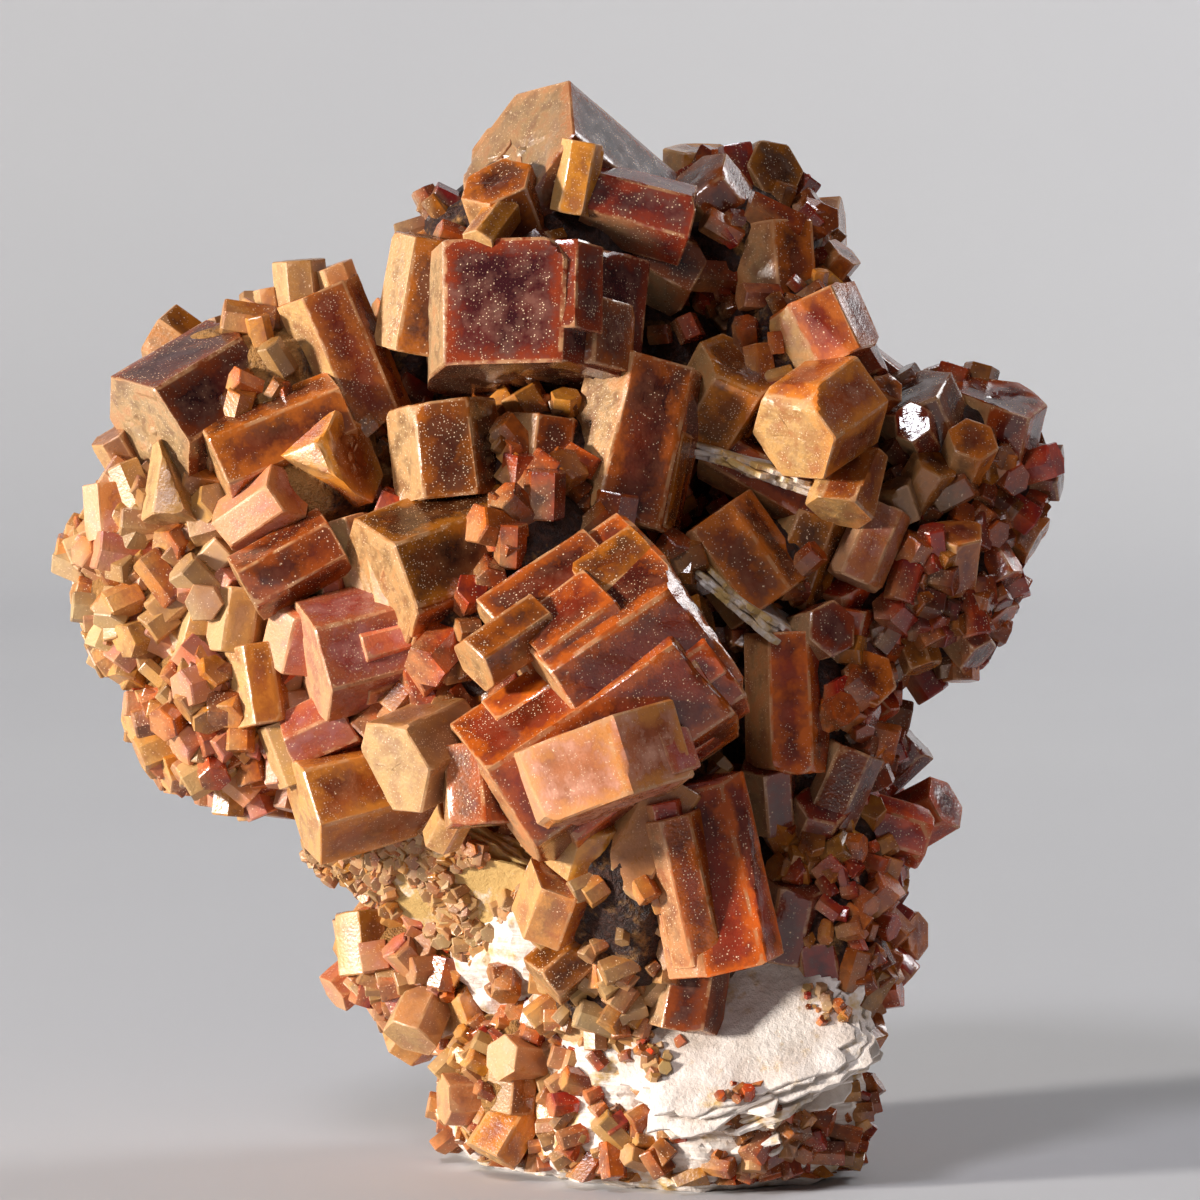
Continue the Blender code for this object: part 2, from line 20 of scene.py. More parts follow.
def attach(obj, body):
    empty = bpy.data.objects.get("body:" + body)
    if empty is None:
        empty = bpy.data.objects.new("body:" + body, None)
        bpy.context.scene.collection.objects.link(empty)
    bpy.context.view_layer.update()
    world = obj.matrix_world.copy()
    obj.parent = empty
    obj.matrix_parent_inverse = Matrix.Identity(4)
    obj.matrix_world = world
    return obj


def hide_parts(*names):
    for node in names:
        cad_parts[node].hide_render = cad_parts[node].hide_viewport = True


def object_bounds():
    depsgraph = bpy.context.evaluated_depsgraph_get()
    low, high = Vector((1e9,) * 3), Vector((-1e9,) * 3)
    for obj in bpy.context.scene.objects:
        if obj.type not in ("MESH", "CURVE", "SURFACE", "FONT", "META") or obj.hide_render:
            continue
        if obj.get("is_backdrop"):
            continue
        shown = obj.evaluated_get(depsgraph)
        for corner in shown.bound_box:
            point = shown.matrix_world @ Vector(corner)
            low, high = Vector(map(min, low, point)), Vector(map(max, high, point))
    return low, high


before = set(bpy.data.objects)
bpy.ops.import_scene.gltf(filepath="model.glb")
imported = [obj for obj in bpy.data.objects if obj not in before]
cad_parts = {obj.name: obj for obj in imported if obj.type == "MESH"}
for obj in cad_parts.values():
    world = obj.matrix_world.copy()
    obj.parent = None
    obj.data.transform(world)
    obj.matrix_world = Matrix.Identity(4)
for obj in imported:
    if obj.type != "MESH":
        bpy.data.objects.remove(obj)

LOG = logging.getLogger("specimen")
BODY = "root"
MM = 0.001

Materials = list[bpy.types.Material]
Pieces = list[bpy.types.Object]

EYE_DISTANCE = 300.0  # mm from the eye to the middle of the specimen
EYE_TILT = math.radians(5)  # the eye looks down by this much
MIDDLE = (24.0, 22.4)  # across and up of the point that the eye looks at
FOOT_MIDDLE = (26.0, 0.7)  # across and near of the middle of the flat foot
FOOT_DROP = 22.9  # mm from the middle down to the surface it stands on
CLEAR_OF_GROUND = 0.4  # mm kept under the lowest crystals
SHARP_CRYSTAL, SHARP_ROCK = 24, 30  # degrees from which an edge stays sharp
END_ON = 0.35  # an axis whose part across the view is shorter than this points at the viewer

ROUGHNESS = 0.2  # of a lump's radius
BUMPS = 1.6  # how close the bumps of a lump are
BUMP_STEP = 7.3  # between the stretches of the field that two lumps take
WELL_INSIDE = 0.92  # of a lump's radii, up to which a point counts as inside it

SCATTER = 0.22  # how far directions that are spread evenly are moved
ROLLS = (0, 60)  # degrees, after which a six-sided crystal looks the same again
GRAIN_SHIFTS = (-50, 50)  # mm by which a crystal's grain is moved, so that no two are alike
STANDING = 0.55  # share of a sprouting crystal's length that stands out of its lump
SPROUT_TILT = 0.45  # how far a sprouting crystal leans over
SPROUT_LENGTHS = (0.9, 1.35)  # shares of its width
COLOUR_SEEDS = 100  # from the seed of the sprouting crystals' places to the one of their tones
LYING = 0.7  # how far the crystals of the druse lie down instead of pointing at the viewer
DRUSE_TILT = 0.5  # how far a crystal of the druse leans over
DRUSE_LENGTHS = (0.8, 1.4)  # shares of its width
FEW_WIDE = 1.5  # above 1, narrow crystals outnumber the wide ones in the druse
RAISED = 0.12  # share of its width by which a crystal of the druse stands off its lump
DRUSE_MARGIN = 0.1  # mm by which a crystal of the druse may start inside another one
PATCHES = 0.45  # how close the patches of a crust are
CRUST_LENGTH = 1.1  # share of its width, the length of a crystal of a crust

RIGHT = Vector((1, 0, 0))
TOWARD = Vector((0, -math.cos(EYE_TILT), math.sin(EYE_TILT)))
UPWARD = Vector((0, math.sin(EYE_TILT), math.cos(EYE_TILT)))
FRONT = Vector((0, -1, 0))
BACK = Vector((0, 1, 0))
LEFT = Vector((-1, 0, 0))
DOWN = Vector((0, 0, -1))
LOW_LEFT = Vector((-0.6, -0.35, -0.72))
LIT_PALE_SIDE = Vector((-0.93, -0.12, -0.34)).normalized()  # faces turned this way, towards the key light, are painted pale: painted light; they are also made dull


class Tone(Enum):
    """Colour of one crystal."""

    PLUM = 0
    BROWN = 1
    ORANGE = 2
    RED = 3
    TAN = 4
    CREAM = 5
    # red-orange, with pink painted on as the reflection of a pale sky: painted reflection
    PINK_REFLECTION = 6


PLUM, BROWN, ORANGE, RED, TAN, CREAM, PINK_REFLECTION = Tone


@dataclass(frozen=True)
class Prism:
    """One six-sided crystal with flat ends: sizes in mm, width from corner to corner."""

    centre: Vector
    axis: Vector
    side: Vector
    width: float
    length: float
    tone: Tone

    def turn(self) -> np.ndarray:
        """Matrix whose columns are the crystal's own X, Y and Z."""
        return np.array((self.side, self.axis.cross(self.side), self.axis)).T


@dataclass(frozen=True)
class Lump:
    """A rough rounded mass, with its radii across, in depth and upwards."""

    across: float
    up: float
    near: float
    wide: float
    deep: float
    tall: float
    seed: int

    def middle(self) -> Vector:
        """Its middle in mm."""
        return seen(self.across, self.up, self.near)

    def surface(self, direction: Vector) -> Vector:
        """Point in mm on its surface, in this direction from its middle.

        Args:
            direction: a unit vector.

        Returns:
            The point.
        """
        start = Vector((self.seed * BUMP_STEP, 0, 0))
        bump = 1 + ROUGHNESS * noise.noise(direction * BUMPS + start)
        reach = (direction.x * self.wide, direction.y * self.deep, direction.z * self.tall)
        return self.middle() + bump * Vector(reach)

    def holds(self, point: Vector) -> bool:
        """Whether a point in mm is well inside it.

        Args:
            point: the point in mm.

        Returns:
            Whether it is.
        """
        offset = point - self.middle()
        scaled = Vector((offset.x / self.wide, offset.y / self.deep, offset.z / self.tall))
        return scaled.length < WELL_INSIDE


@dataclass(frozen=True)
class Blade:
    """A baryte tablet: heading and lean of its normal, spin of its long side, and its sizes."""

    across: float
    up: float
    near: float
    heading: float
    lean: float
    spin: float
    long: float
    wide: float
    thick: float
    stain: float  # how yellow and dirty it is, 0 to 1

    def turn(self) -> np.ndarray:
        """Matrix whose columns are its long side, its short side and its normal.

        Returns:
            The matrix, three by three.
        """
        normal = seen_direction(self.heading, self.lean)
        level = Vector((0, 0, 1)).cross(normal).normalized()
        side = Matrix.Rotation(math.radians(self.spin), 3, normal) @ level
        return np.array((side, normal.cross(side), normal)).T


@dataclass(frozen=True)
class Cover:
    """Crystals that cover one lump on the side that faces one way."""

    lump: int
    count: int
    least: float  # mm, the smallest width
    most: float  # mm, the greatest width
    facing: Vector
    limit: float  # cosine of the widest angle from that way

    def misses(self, direction: Vector) -> bool:
        """Whether this direction from the lump's middle isn't on the covered side."""
        return direction.dot(self.facing) < self.limit


@dataclass(frozen=True)
class Sprouts(Cover):
    """The smaller of the crystals that stand in the solids."""

    seed: int


@dataclass(frozen=True)
class Druse(Cover):
    """A carpet of small crystals that only the looks have."""

    tones: tuple[Tone, ...]
    seed: int


@dataclass(frozen=True)
class Crust:
    """Fine crystals in patches on the upper side of one tablet."""

    blade: int
    count: int
    least: float  # mm, the smallest width
    most: float  # mm, the greatest width
    thin: float  # the patches are where a field from -1 to 1 is above this
    tones: tuple[Tone, ...]
    seed: int


# Each crystal: across, up, near, heading of its axis in the picture, lean of its axis towards
# the viewer, roll about its axis (degrees), width from corner to corner, length, tone.
CRYSTALS = {
    "centre_crystals": [
        (26.6, 18.6, 8.6, 214, 4, 45, 5.2, 5.0, RED),
        (22.2, 22.0, 8.0, 214, 14, 35, 4.6, 5.2, BROWN),
        (25.3, 28.6, 3.6, 77, -6, 12, 5.4, 6.6, BROWN),
        (17.9, 28.3, 5.0, 97, -4, 2, 4.6, 3.8, BROWN),
        (21.6, 27.8, 4.2, 84, -4, 20, 3.5, 3.8, BROWN),
        (17.8, 24.0, 6.0, 200, 26, 0, 5.8, 6.0, BROWN),
        (24.6, 20.0, 7.0, 214, 10, 45, 10.2, 6.4, BROWN),
        (23.8, 17.2, 8.4, 214, 6, 45, 7.4, 9.4, RED),
        (20.3, 20.7, 10.4, 214, 22, 30, 2.6, 3.4, BROWN),
        (14.8, 20.6, 5.6, 195, 15, 0, 5.2, 5.0, PINK_REFLECTION),
        (14.5, 23.9, 5.0, 105, 0, 20, 1.9, 3.8, TAN),
        (15.6, 22.7, 6.6, 100, 0, 20, 1.5, 3.2, TAN),
        (17.0, 16.3, 8.0, 205, 40, 10, 4.2, 3.4, TAN),
        (19.0, 15.0, 9.0, 275, 5, 20, 2.8, 3.2, BROWN),
        (14.9, 14.8, 4.0, 195, 15, 10, 4.6, 5.8, ORANGE),
        (17.9, 13.3, 6.2, 60, 40, 0, 1.7, 1.7, ORANGE),
        (24.0, 15.6, 10.6, 110, -6, -17, 7.6, 3.1, PINK_REFLECTION),
        (25.5, 13.1, 7.0, 60, -5, 10, 4.0, 4.8, TAN),
        (28.3, 11.4, 7.4, 102, 3, 8, 4.7, 7.4, RED),
        (22.3, 10.5, 6.6, 70, 40, 0, 3.2, 2.9, ORANGE),
        (23.0, 8.2, 5.0, 40, -10, 10, 2.6, 3.4, BROWN),
        (25.4, 9.1, 4.8, 120, 0, 0, 2.5, 3.4, ORANGE),
        (23.4, 12.8, 7.4, 75, 30, 20, 3.0, 2.4, ORANGE),
        (27.6, 7.0, 4.8, 80, 0, 0, 3.1, 3.6, PLUM),
        (25.8, 6.4, 4.1, 70, 0, 0, 1.9, 3.8, TAN),
    ],
    "crown_crystals": [
        (23.0, 38.6, 0.0, 143, 32, 0, 6.8, 6.8, PLUM),
        (21.3, 33.4, 3.2, 88, -12, 46, 9.6, 5.0, PLUM),
        (17.0, 34.6, 2.8, 80, 5, 10, 3.6, 4.6, BROWN),
        (20.3, 38.0, 3.6, 110, 35, 10, 3.2, 2.8, BROWN),
        (23.1, 39.3, 3.9, 80, 5, 0, 1.8, 2.9, ORANGE),
        (19.7, 37.3, 5.4, 235, 40, 0, 1.6, 2.4, ORANGE),
        (25.4, 37.9, 2.6, 165, 5, 10, 3.4, 4.4, PLUM),
        (26.3, 36.0, 1.0, 150, 0, 10, 3.8, 3.6, PLUM),
    ],
    "left_crystals": [
        (13.8, 32.1, 2.4, 113, 5, 10, 3.7, 5.8, ORANGE),
        (12.0, 35.1, 2.2, 95, 5, 0, 2.2, 1.8, TAN),
        (13.5, 34.9, 2.2, 110, 5, 10, 2.0, 1.8, TAN),
        (8.0, 30.3, 2.2, 213, 28, 0, 5.7, 5.2, PLUM),
        (11.2, 28.8, 4.0, 203, 10, 0, 3.7, 5.6, BROWN),
        (12.8, 27.6, 4.4, 20, 30, 0, 3.9, 3.4, ORANGE),
        (10.4, 26.0, 5.0, 33, 30, 0, 2.7, 3.2, PINK_REFLECTION),
        (7.2, 27.0, 3.4, 262, 15, 10, 2.8, 3.2, TAN),
        (4.8, 28.2, 1.2, 120, 20, 0, 1.7, 1.9, TAN),
        (10.8, 34.0, 1.8, 100, 0, 0, 1.2, 1.7, TAN),
        (10.2, 32.9, 1.0, 60, 0, 0, 2.6, 2.4, BROWN),
        (4.4, 25.9, 1.9, 95, -5, 15, 2.2, 2.3, PINK_REFLECTION),
        (4.8, 23.9, 1.4, 80, 20, 0, 2.0, 1.9, ORANGE),
        (7.1, 24.6, 2.4, 60, 10, 0, 1.9, 2.2, TAN),
        (8.6, 24.1, 3.1, 45, 20, 0, 2.2, 1.9, CREAM),
        (6.2, 23.8, 2.4, 60, 20, 0, 1.3, 1.3, PINK_REFLECTION),
        (7.7, 23.3, 3.1, 50, 0, 0, 1.7, 1.9, TAN),
        (7.0, 22.4, 2.9, 40, 10, 0, 2.1, 1.9, TAN),
        (7.9, 21.2, 3.1, 75, 0, 0, 1.8, 2.6, TAN),
        (9.5, 21.5, 3.8, 82, -5, 10, 2.4, 2.6, TAN),
        (11.6, 23.8, 5.5, 209, 5, 0, 3.0, 4.1, BROWN),
        (11.9, 21.1, 4.8, 75, 25, 20, 2.8, 2.6, PINK_REFLECTION),
        (10.4, 19.0, 4.3, 99, -4, 8, 2.5, 3.2, ORANGE),
        (8.7, 18.8, 3.4, 92, 0, 5, 1.8, 3.0, TAN),
        (12.8, 17.3, 4.6, 25, 10, 20, 2.8, 2.8, PINK_REFLECTION),
        (11.8, 16.4, 3.8, 290, 0, 10, 2.4, 2.6, TAN),
        (13.3, 22.3, 5.0, 95, 0, 0, 1.3, 2.2, PINK_REFLECTION),
        (6.6, 18.2, 1.2, 100, 0, 0, 2.0, 1.9, ORANGE),
        (8.0, 17.0, 1.7, 60, 20, 0, 2.0, 1.9, ORANGE),
        (9.4, 16.4, 2.4, 300, 20, 0, 2.2, 1.9, ORANGE),
        (7.4, 15.8, 1.2, 200, 20, 0, 1.8, 1.9, ORANGE),
        (10.4, 15.6, 1.9, 280, 20, 0, 1.8, 1.9, ORANGE),
        (6.0, 17.6, 0.7, 200, 20, 0, 1.7, 1.9, ORANGE),
    ],
    "arm_crystals": [
        (39.5, 28.5, -2.2, 80, 22, 10, 4.2, 4.6, BROWN),
        (37.1, 28.9, -0.8, 115, 22, 0, 4.2, 4.2, PLUM),
        (41.2, 27.6, -3.2, 355, 10, 0, 2.4, 2.6, PLUM),
        (40.5, 25.3, -2.6, 330, 10, 10, 2.2, 2.4, BROWN),
        (38.6, 28.1, 0.8, 70, 50, 0, 2.2, 2.4, BROWN),
        (34.8, 24.6, 2.4, 66, -8, 0, 2.3, 3.3, PINK_REFLECTION),
        (38.2, 24.1, 0.8, 85, 35, 30, 2.3, 2.6, ORANGE),
        (36.4, 23.6, 1.2, 60, 5, 0, 1.4, 1.8, TAN),
        (38.2, 21.1, -0.6, 312, 20, 30, 2.0, 2.9, PLUM),
        (36.5, 20.9, 0.0, 290, 12, 10, 1.8, 2.7, BROWN),
        (36.9, 27.0, 1.0, 60, 30, 0, 2.1, 2.4, BROWN),
        (39.6, 24.0, -1.0, 300, 20, 0, 2.0, 2.4, BROWN),
        (39.6, 22.3, -1.6, 310, 20, 0, 1.7, 1.8, BROWN),
        (36.0, 26.3, 1.8, 110, 20, 10, 1.6, 1.6, TAN),
        (36.7, 29.1, 1.4, 125, 64.6, 0, 1.8, 2.2, PLUM),
    ],
    "ridge_crystals": [
        (30.3, 39.2, -2.4, 30, 50, 0, 2.9, 2.6, BROWN),
        (31.9, 37.2, -2.4, 10, 20, 10, 2.2, 2.4, BROWN),
        (28.9, 38.0, -0.6, 130, 25, 0, 3.2, 3.6, BROWN),
        (31.0, 35.5, 0.0, 94, -5, 30, 3.8, 3.8, BROWN),
        (33.2, 35.6, -1.4, 50, 20, 20, 1.8, 2.0, BROWN),
        (32.9, 33.1, 2.4, 115, -5, 3, 4.2, 2.8, ORANGE),
        (32.8, 29.7, 4.1, 215, 42, 0, 4.4, 3.6, ORANGE),
        (28.9, 30.6, 2.6, 60, 30, 10, 3.8, 3.4, BROWN),
        (33.9, 27.2, 3.6, 255, 25, 10, 2.9, 2.9, ORANGE),
        (30.6, 27.3, 1.8, 330, 5, 0, 2.8, 5.2, BROWN),
        (34.4, 31.8, 0.6, 30, 20, 10, 1.8, 1.9, PLUM),
        (35.1, 30.5, 1.0, 40, 50, 10, 1.6, 1.7, BROWN),
    ],
    "right_crystals": [
        (33.4, 20.6, 1.4, 80, 10, 10, 2.8, 3.4, RED),
        (33.6, 15.2, 1.8, 110, 30, 0, 2.6, 2.6, RED),
        (32.6, 13.4, 3.0, 70, 40, 10, 2.4, 2.4, PLUM),
        (33.4, 10.6, 2.2, 100, 35, 20, 2.8, 2.8, RED),
        (30.8, 14.6, 3.6, 95, 25, 20, 2.4, 2.8, PLUM),
        (34.2, 4.8, 1.6, 60, 35, 0, 2.2, 2.2, ORANGE),
        (33.0, 3.6, 2.0, 20, 45, 0, 1.8, 1.8, ORANGE),
        (34.6, 18.2, -0.6, 40, 30, 10, 2.2, 2.4, RED),
        (31.6, 9.6, 3.6, 80, 15, 0, 2.6, 3.2, PLUM),
        (31.5, 18.3, 3.6, 92, 0, 5, 3.4, 5.6, RED),
        (29.6, 24.0, 3.1, 125, 0, 0, 4.0, 4.2, BROWN),
        (32.0, 24.0, 1.9, 70, 0, 0, 3.0, 3.8, BROWN),
        (35.9, 16.0, -2.4, 45, 10, 0, 2.0, 2.2, PLUM),
        (36.8, 13.8, -1.9, 30, 30, 0, 2.6, 2.6, RED),
        (35.2, 12.6, -1.0, 95, 0, 0, 2.1, 2.9, RED),
        (35.8, 9.0, -1.8, 0, 30, 0, 2.1, 2.2, RED),
        (32.8, 7.4, 2.9, 100, 10, 0, 3.0, 3.1, PLUM),
    ],
    "foot_crystals": [
        (14.5, 8.6, -4.8, 100, 10, 0, 2.2, 2.6, PINK_REFLECTION),
        (15.3, 7.0, -4.8, 300, 20, 0, 2.1, 2.4, PINK_REFLECTION),
        (14.1, 7.3, -5.3, 220, 20, 0, 1.9, 2.2, PINK_REFLECTION),
        (16.6, 9.0, -3.6, 100, 20, 0, 2.1, 2.2, TAN),
        (18.9, 6.1, -1.2, 20, 60, 0, 2.9, 2.9, ORANGE),
        (21.3, 5.8, 0.7, 95, 5, 20, 1.9, 3.6, CREAM),
        (23.8, 6.2, 3.1, 200, 40, 0, 2.9, 2.8, TAN),
        (20.6, 3.4, 1.7, 85, 10, 25, 2.4, 2.8, BROWN),
        (20.4, 1.4, 1.2, 240, 10, 25, 2.5, 3.0, ORANGE),
        (22.5, 1.5, 1.7, 280, 10, 25, 2.4, 2.6, ORANGE),
    ],
}

# The rough ground that each mass of crystals grows from, and the baryte under all of them.
LUMPS = {
    "matrix": [
        Lump(27.4, 2.6, -1.0, 6.6, 6.4, 5.0, 1),
        Lump(22.8, 3.2, -3.6, 4.8, 5.4, 5.2, 7),
        Lump(25.0, 10.5, -2.4, 7.8, 7.6, 8.6, 2),
        Lump(21.0, 21.0, -3.4, 9.8, 6.8, 9.2, 3),
        Lump(22.5, 30.5, -3.2, 7.6, 5.6, 6.6, 4),
        Lump(11.5, 24.0, -2.8, 6.4, 4.6, 6.2, 5),
        Lump(32.5, 25.5, -3.8, 6.6, 4.6, 5.6, 6),
    ],
    "centre_crystals": [
        Lump(20.5, 21.5, 3.6, 6.6, 4.6, 5.8, 11),
        Lump(22.0, 27.0, 1.8, 4.6, 4.0, 3.4, 12),
        Lump(25.6, 12.0, 4.6, 3.8, 3.8, 4.8, 13),
        Lump(25.0, 7.2, 2.8, 3.0, 2.8, 2.8, 14),
    ],
    "crown_crystals": [Lump(22.0, 36.4, -0.8, 4.8, 4.8, 3.8, 15)],
    "left_crystals": [
        Lump(10.4, 29.6, 0.4, 3.8, 4.0, 4.0, 16),
        Lump(12.4, 27.2, 2.0, 3.2, 3.2, 3.2, 17),
        Lump(7.6, 23.6, 0.0, 4.0, 3.6, 4.2, 25),
        Lump(10.0, 18.6, 0.6, 4.2, 3.8, 3.8, 26),
    ],
    "arm_crystals": [
        Lump(37.8, 27.4, -3.2, 3.4, 3.8, 3.4, 18),
        Lump(36.2, 23.4, -2.2, 4.0, 3.8, 3.6, 19),
    ],
    "ridge_crystals": [
        Lump(29.6, 36.0, -2.8, 3.2, 4.0, 3.6, 20),
        Lump(31.6, 31.2, -0.6, 3.0, 3.8, 4.4, 21),
    ],
    "right_crystals": [
        Lump(32.0, 17.6, -0.6, 3.4, 4.4, 5.6, 22),
        Lump(32.6, 10.4, -0.4, 3.0, 4.6, 5.8, 23),
        Lump(30.8, 23.2, 0.2, 3.0, 3.2, 3.0, 24),
    ],
    "foot_crystals": [
        Lump(18.4, 8.0, -3.2, 3.8, 3.6, 3.0, 27),
        Lump(20.6, 3.6, -0.6, 2.4, 2.8, 2.8, 28),
    ],
    "back_crystals": [
        Lump(22.0, 30.0, -6.6, 6.8, 3.8, 6.6, 29),
        Lump(21.5, 18.5, -7.4, 7.8, 4.0, 8.6, 30),
        Lump(26.5, 9.5, -7.6, 6.2, 3.6, 4.8, 31),
    ],
}

BARE_LUMPS = 3  # the first lumps of the matrix are bare baryte, and the dark crust covers the others, its darkness partly painted shade between the crystals

BLADES = [
    Blade(18.6, 11.0, 2.2, 236, 56, -33, 12.5, 4.8, 1.6, 0.8),
    Blade(29.8, 4.6, 4.2, 100, 62, 22, 8.6, 5.4, 2.2, 0.1),
    Blade(30.4, 28.0, 0.6, 72, 10, 0, 6.5, 6.0, 0.7, 0.5),
    Blade(30.0, 22.6, 2.2, 52, 12, 0, 6.0, 5.0, 0.7, 0.5),
    Blade(28.4, 3.4, 1.0, 110, 25, 0, 10.0, 7.0, 2.6, 0.3),
]

# The smaller crystals that cover the sides away from the viewer.
SPROUTS = {
    "crown_crystals": [Sprouts(0, 7, 3.2, 4.6, BACK, 0.3, 31)],
    "left_crystals": [
        Sprouts(0, 6, 2.8, 4.0, BACK, 0.2, 32),
        Sprouts(2, 5, 2.4, 3.2, BACK, 0.3, 39),
        Sprouts(3, 5, 2.2, 3.0, BACK, 0.3, 40),
    ],
    "arm_crystals": [
        Sprouts(0, 6, 2.6, 3.6, BACK, 0.0, 33),
        Sprouts(1, 5, 2.0, 2.8, DOWN, 0.2, 34),
    ],
    "ridge_crystals": [
        Sprouts(0, 5, 2.6, 3.8, BACK, 0.0, 35),
        Sprouts(1, 3, 2.2, 3.2, BACK, 0.2, 36),
    ],
    "right_crystals": [
        Sprouts(0, 6, 2.2, 3.0, RIGHT, 0.1, 37),
        Sprouts(1, 6, 2.2, 3.0, RIGHT, 0.0, 38),
    ],
    "foot_crystals": [
        Sprouts(0, 5, 1.8, 2.6, LEFT, -0.2, 41),
        Sprouts(1, 3, 1.8, 2.4, LEFT, -0.2, 42),
    ],
    "back_crystals": [
        Sprouts(0, 11, 3.4, 5.2, BACK, 0.0, 43),
        Sprouts(1, 14, 3.4, 5.8, BACK, 0.0, 44),
        Sprouts(2, 8, 3.2, 5.0, BACK, 0.0, 45),
    ],
}

# The fine crystals between and beside the larger ones.
DRUSES = {
    "matrix": [
        Druse(0, 900, 0.4, 1.2, LOW_LEFT, -0.1, (TAN, ORANGE, RED, BROWN), 50),
        Druse(0, 700, 0.4, 1.2, RIGHT, 0.3, (ORANGE, RED, RED, BROWN), 46),
        Druse(0, 500, 0.5, 1.4, BACK, 0.2, (TAN, BROWN, ORANGE), 47),
        Druse(1, 520, 0.5, 1.4, LOW_LEFT, -0.5, (ORANGE, TAN, RED, BROWN), 48),
        Druse(2, 420, 0.5, 1.4, FRONT, -0.9, (ORANGE, TAN, BROWN, RED), 51),
        Druse(3, 240, 0.8, 1.8, FRONT, -0.2, (BROWN, ORANGE, RED), 52),
        Druse(4, 200, 0.8, 1.8, FRONT, -0.2, (BROWN, PLUM, ORANGE), 53),
        Druse(5, 240, 0.8, 1.7, LEFT, -0.3, (TAN, BROWN, ORANGE), 54),
        Druse(6, 240, 0.8, 1.8, FRONT, -0.3, (BROWN, PLUM, RED), 55),
        Druse(3, 500, 0.9, 2.2, BACK, -0.1, (BROWN, ORANGE, RED), 84),
        Druse(4, 420, 0.9, 2.2, BACK, -0.1, (BROWN, PLUM, ORANGE), 85),
        Druse(5, 360, 0.9, 2.1, BACK, -0.1, (TAN, BROWN, ORANGE), 86),
        Druse(6, 520, 1.1, 2.6, BACK, -0.1, (BROWN, PLUM, RED), 87),
    ],
    "centre_crystals": [
        Druse(0, 420, 1.0, 2.0, FRONT, -0.4, (BROWN, RED, BROWN), 56),
        Druse(1, 380, 1.0, 1.9, FRONT, -0.4, (BROWN, RED, ORANGE), 57),
        Druse(2, 150, 0.6, 1.3, FRONT, -0.4, (ORANGE, TAN, BROWN), 58),
        Druse(3, 260, 0.5, 1.3, FRONT, -0.4, (TAN, ORANGE, CREAM), 59),
    ],
    "crown_crystals": [Druse(0, 130, 0.8, 1.7, FRONT, -0.9, (PLUM, BROWN), 60)],
    "left_crystals": [
        Druse(0, 160, 0.7, 1.6, FRONT, -0.6, (BROWN, TAN, ORANGE), 61),
        Druse(1, 110, 0.7, 1.5, FRONT, -0.4, (ORANGE, BROWN), 62),
        Druse(2, 480, 0.7, 1.8, LEFT, -0.8, (TAN, CREAM, TAN, PINK_REFLECTION, ORANGE), 63),
        Druse(3, 480, 0.7, 1.8, LEFT, -0.8, (ORANGE, RED, PINK_REFLECTION, ORANGE, TAN), 64),
    ],
    "arm_crystals": [
        Druse(0, 240, 0.8, 1.7, FRONT, -1.0, (BROWN, PLUM, RED), 65),
        Druse(1, 330, 0.8, 1.7, FRONT, -1.0, (RED, PLUM, BROWN, RED), 66),
    ],
    "ridge_crystals": [
        Druse(0, 180, 0.8, 1.7, FRONT, -0.6, (BROWN, RED), 67),
        Druse(1, 180, 0.7, 1.6, FRONT, -0.6, (BROWN, RED, ORANGE), 68),
    ],
    "right_crystals": [
        Druse(0, 400, 0.7, 1.7, RIGHT, -0.5, (RED, RED, PLUM, BROWN), 69),
        Druse(1, 480, 0.6, 1.6, RIGHT, -0.5, (RED, RED, ORANGE), 70),
        Druse(2, 140, 0.7, 1.4, FRONT, -0.3, (RED, BROWN), 71),
    ],
    "foot_crystals": [
        Druse(0, 300, 0.6, 1.5, LEFT, -0.7, (ORANGE, RED, TAN, PINK_REFLECTION), 72),
        Druse(1, 220, 0.5, 1.3, LEFT, -0.7, (ORANGE, RED, BROWN, TAN), 73),
    ],
    "back_crystals": [
        Druse(0, 260, 0.9, 2.0, BACK, -0.3, (BROWN, RED, ORANGE), 74),
        Druse(1, 320, 0.9, 2.0, BACK, -0.3, (BROWN, RED, ORANGE), 75),
        Druse(2, 220, 0.9, 1.8, BACK, -0.3, (BROWN, ORANGE, TAN), 76),
    ],
}

CRUSTS = [
    Crust(0, 1500, 0.25, 0.8, -0.15, (TAN, CREAM, TAN, ORANGE), 80),
    Crust(1, 300, 0.2, 0.6, 0.3, (TAN, CREAM, ORANGE, RED), 83),
    Crust(4, 300, 0.3, 0.8, 0.0, (TAN, ORANGE), 82),
]


def seen(across: float, up: float, near: float) -> Vector:
    """Point of the upright part that is seen at a place.

    Args:
        across: mm from the left of the picture.
        up: mm above the lowest crystal.
        near: mm towards the viewer.

    Returns:
        The point in mm, measured from the middle of the foot.
    """
    shrink = (EYE_DISTANCE - near) / EYE_DISTANCE
    from_middle = shrink * ((across - MIDDLE[0]) * RIGHT + (up - MIDDLE[1]) * UPWARD)
    foot = (FOOT_MIDDLE[0] - MIDDLE[0]) * RIGHT + Vector((0, -FOOT_MIDDLE[1], -FOOT_DROP))
    return from_middle + near * TOWARD - foot


def seen_direction(heading: float, lean: float) -> Vector:
    """Direction with this angle in the picture and this lean towards the viewer, in degrees.

    Args:
        heading: degrees from the right, turning up.
        lean: degrees towards the viewer.

    Returns:
        The unit vector.
    """
    turn, tip = math.radians(heading), math.radians(lean)
    flat = math.cos(turn) * RIGHT + math.sin(turn) * UPWARD
    return math.cos(tip) * flat + math.sin(tip) * TOWARD


def across_axis(axis: Vector, roll: float) -> Vector:
    """Unit vector square to the axis, rolled by degrees from the side that faces the viewer.

    Args:
        axis: a unit vector.
        roll: degrees about it.

    Returns:
        The unit vector.
    """
    side = TOWARD - TOWARD.dot(axis) * axis
    if side.length < END_ON:
        side = UPWARD - UPWARD.dot(axis) * axis
    return Matrix.Rotation(math.radians(roll), 3, axis) @ side.normalized()


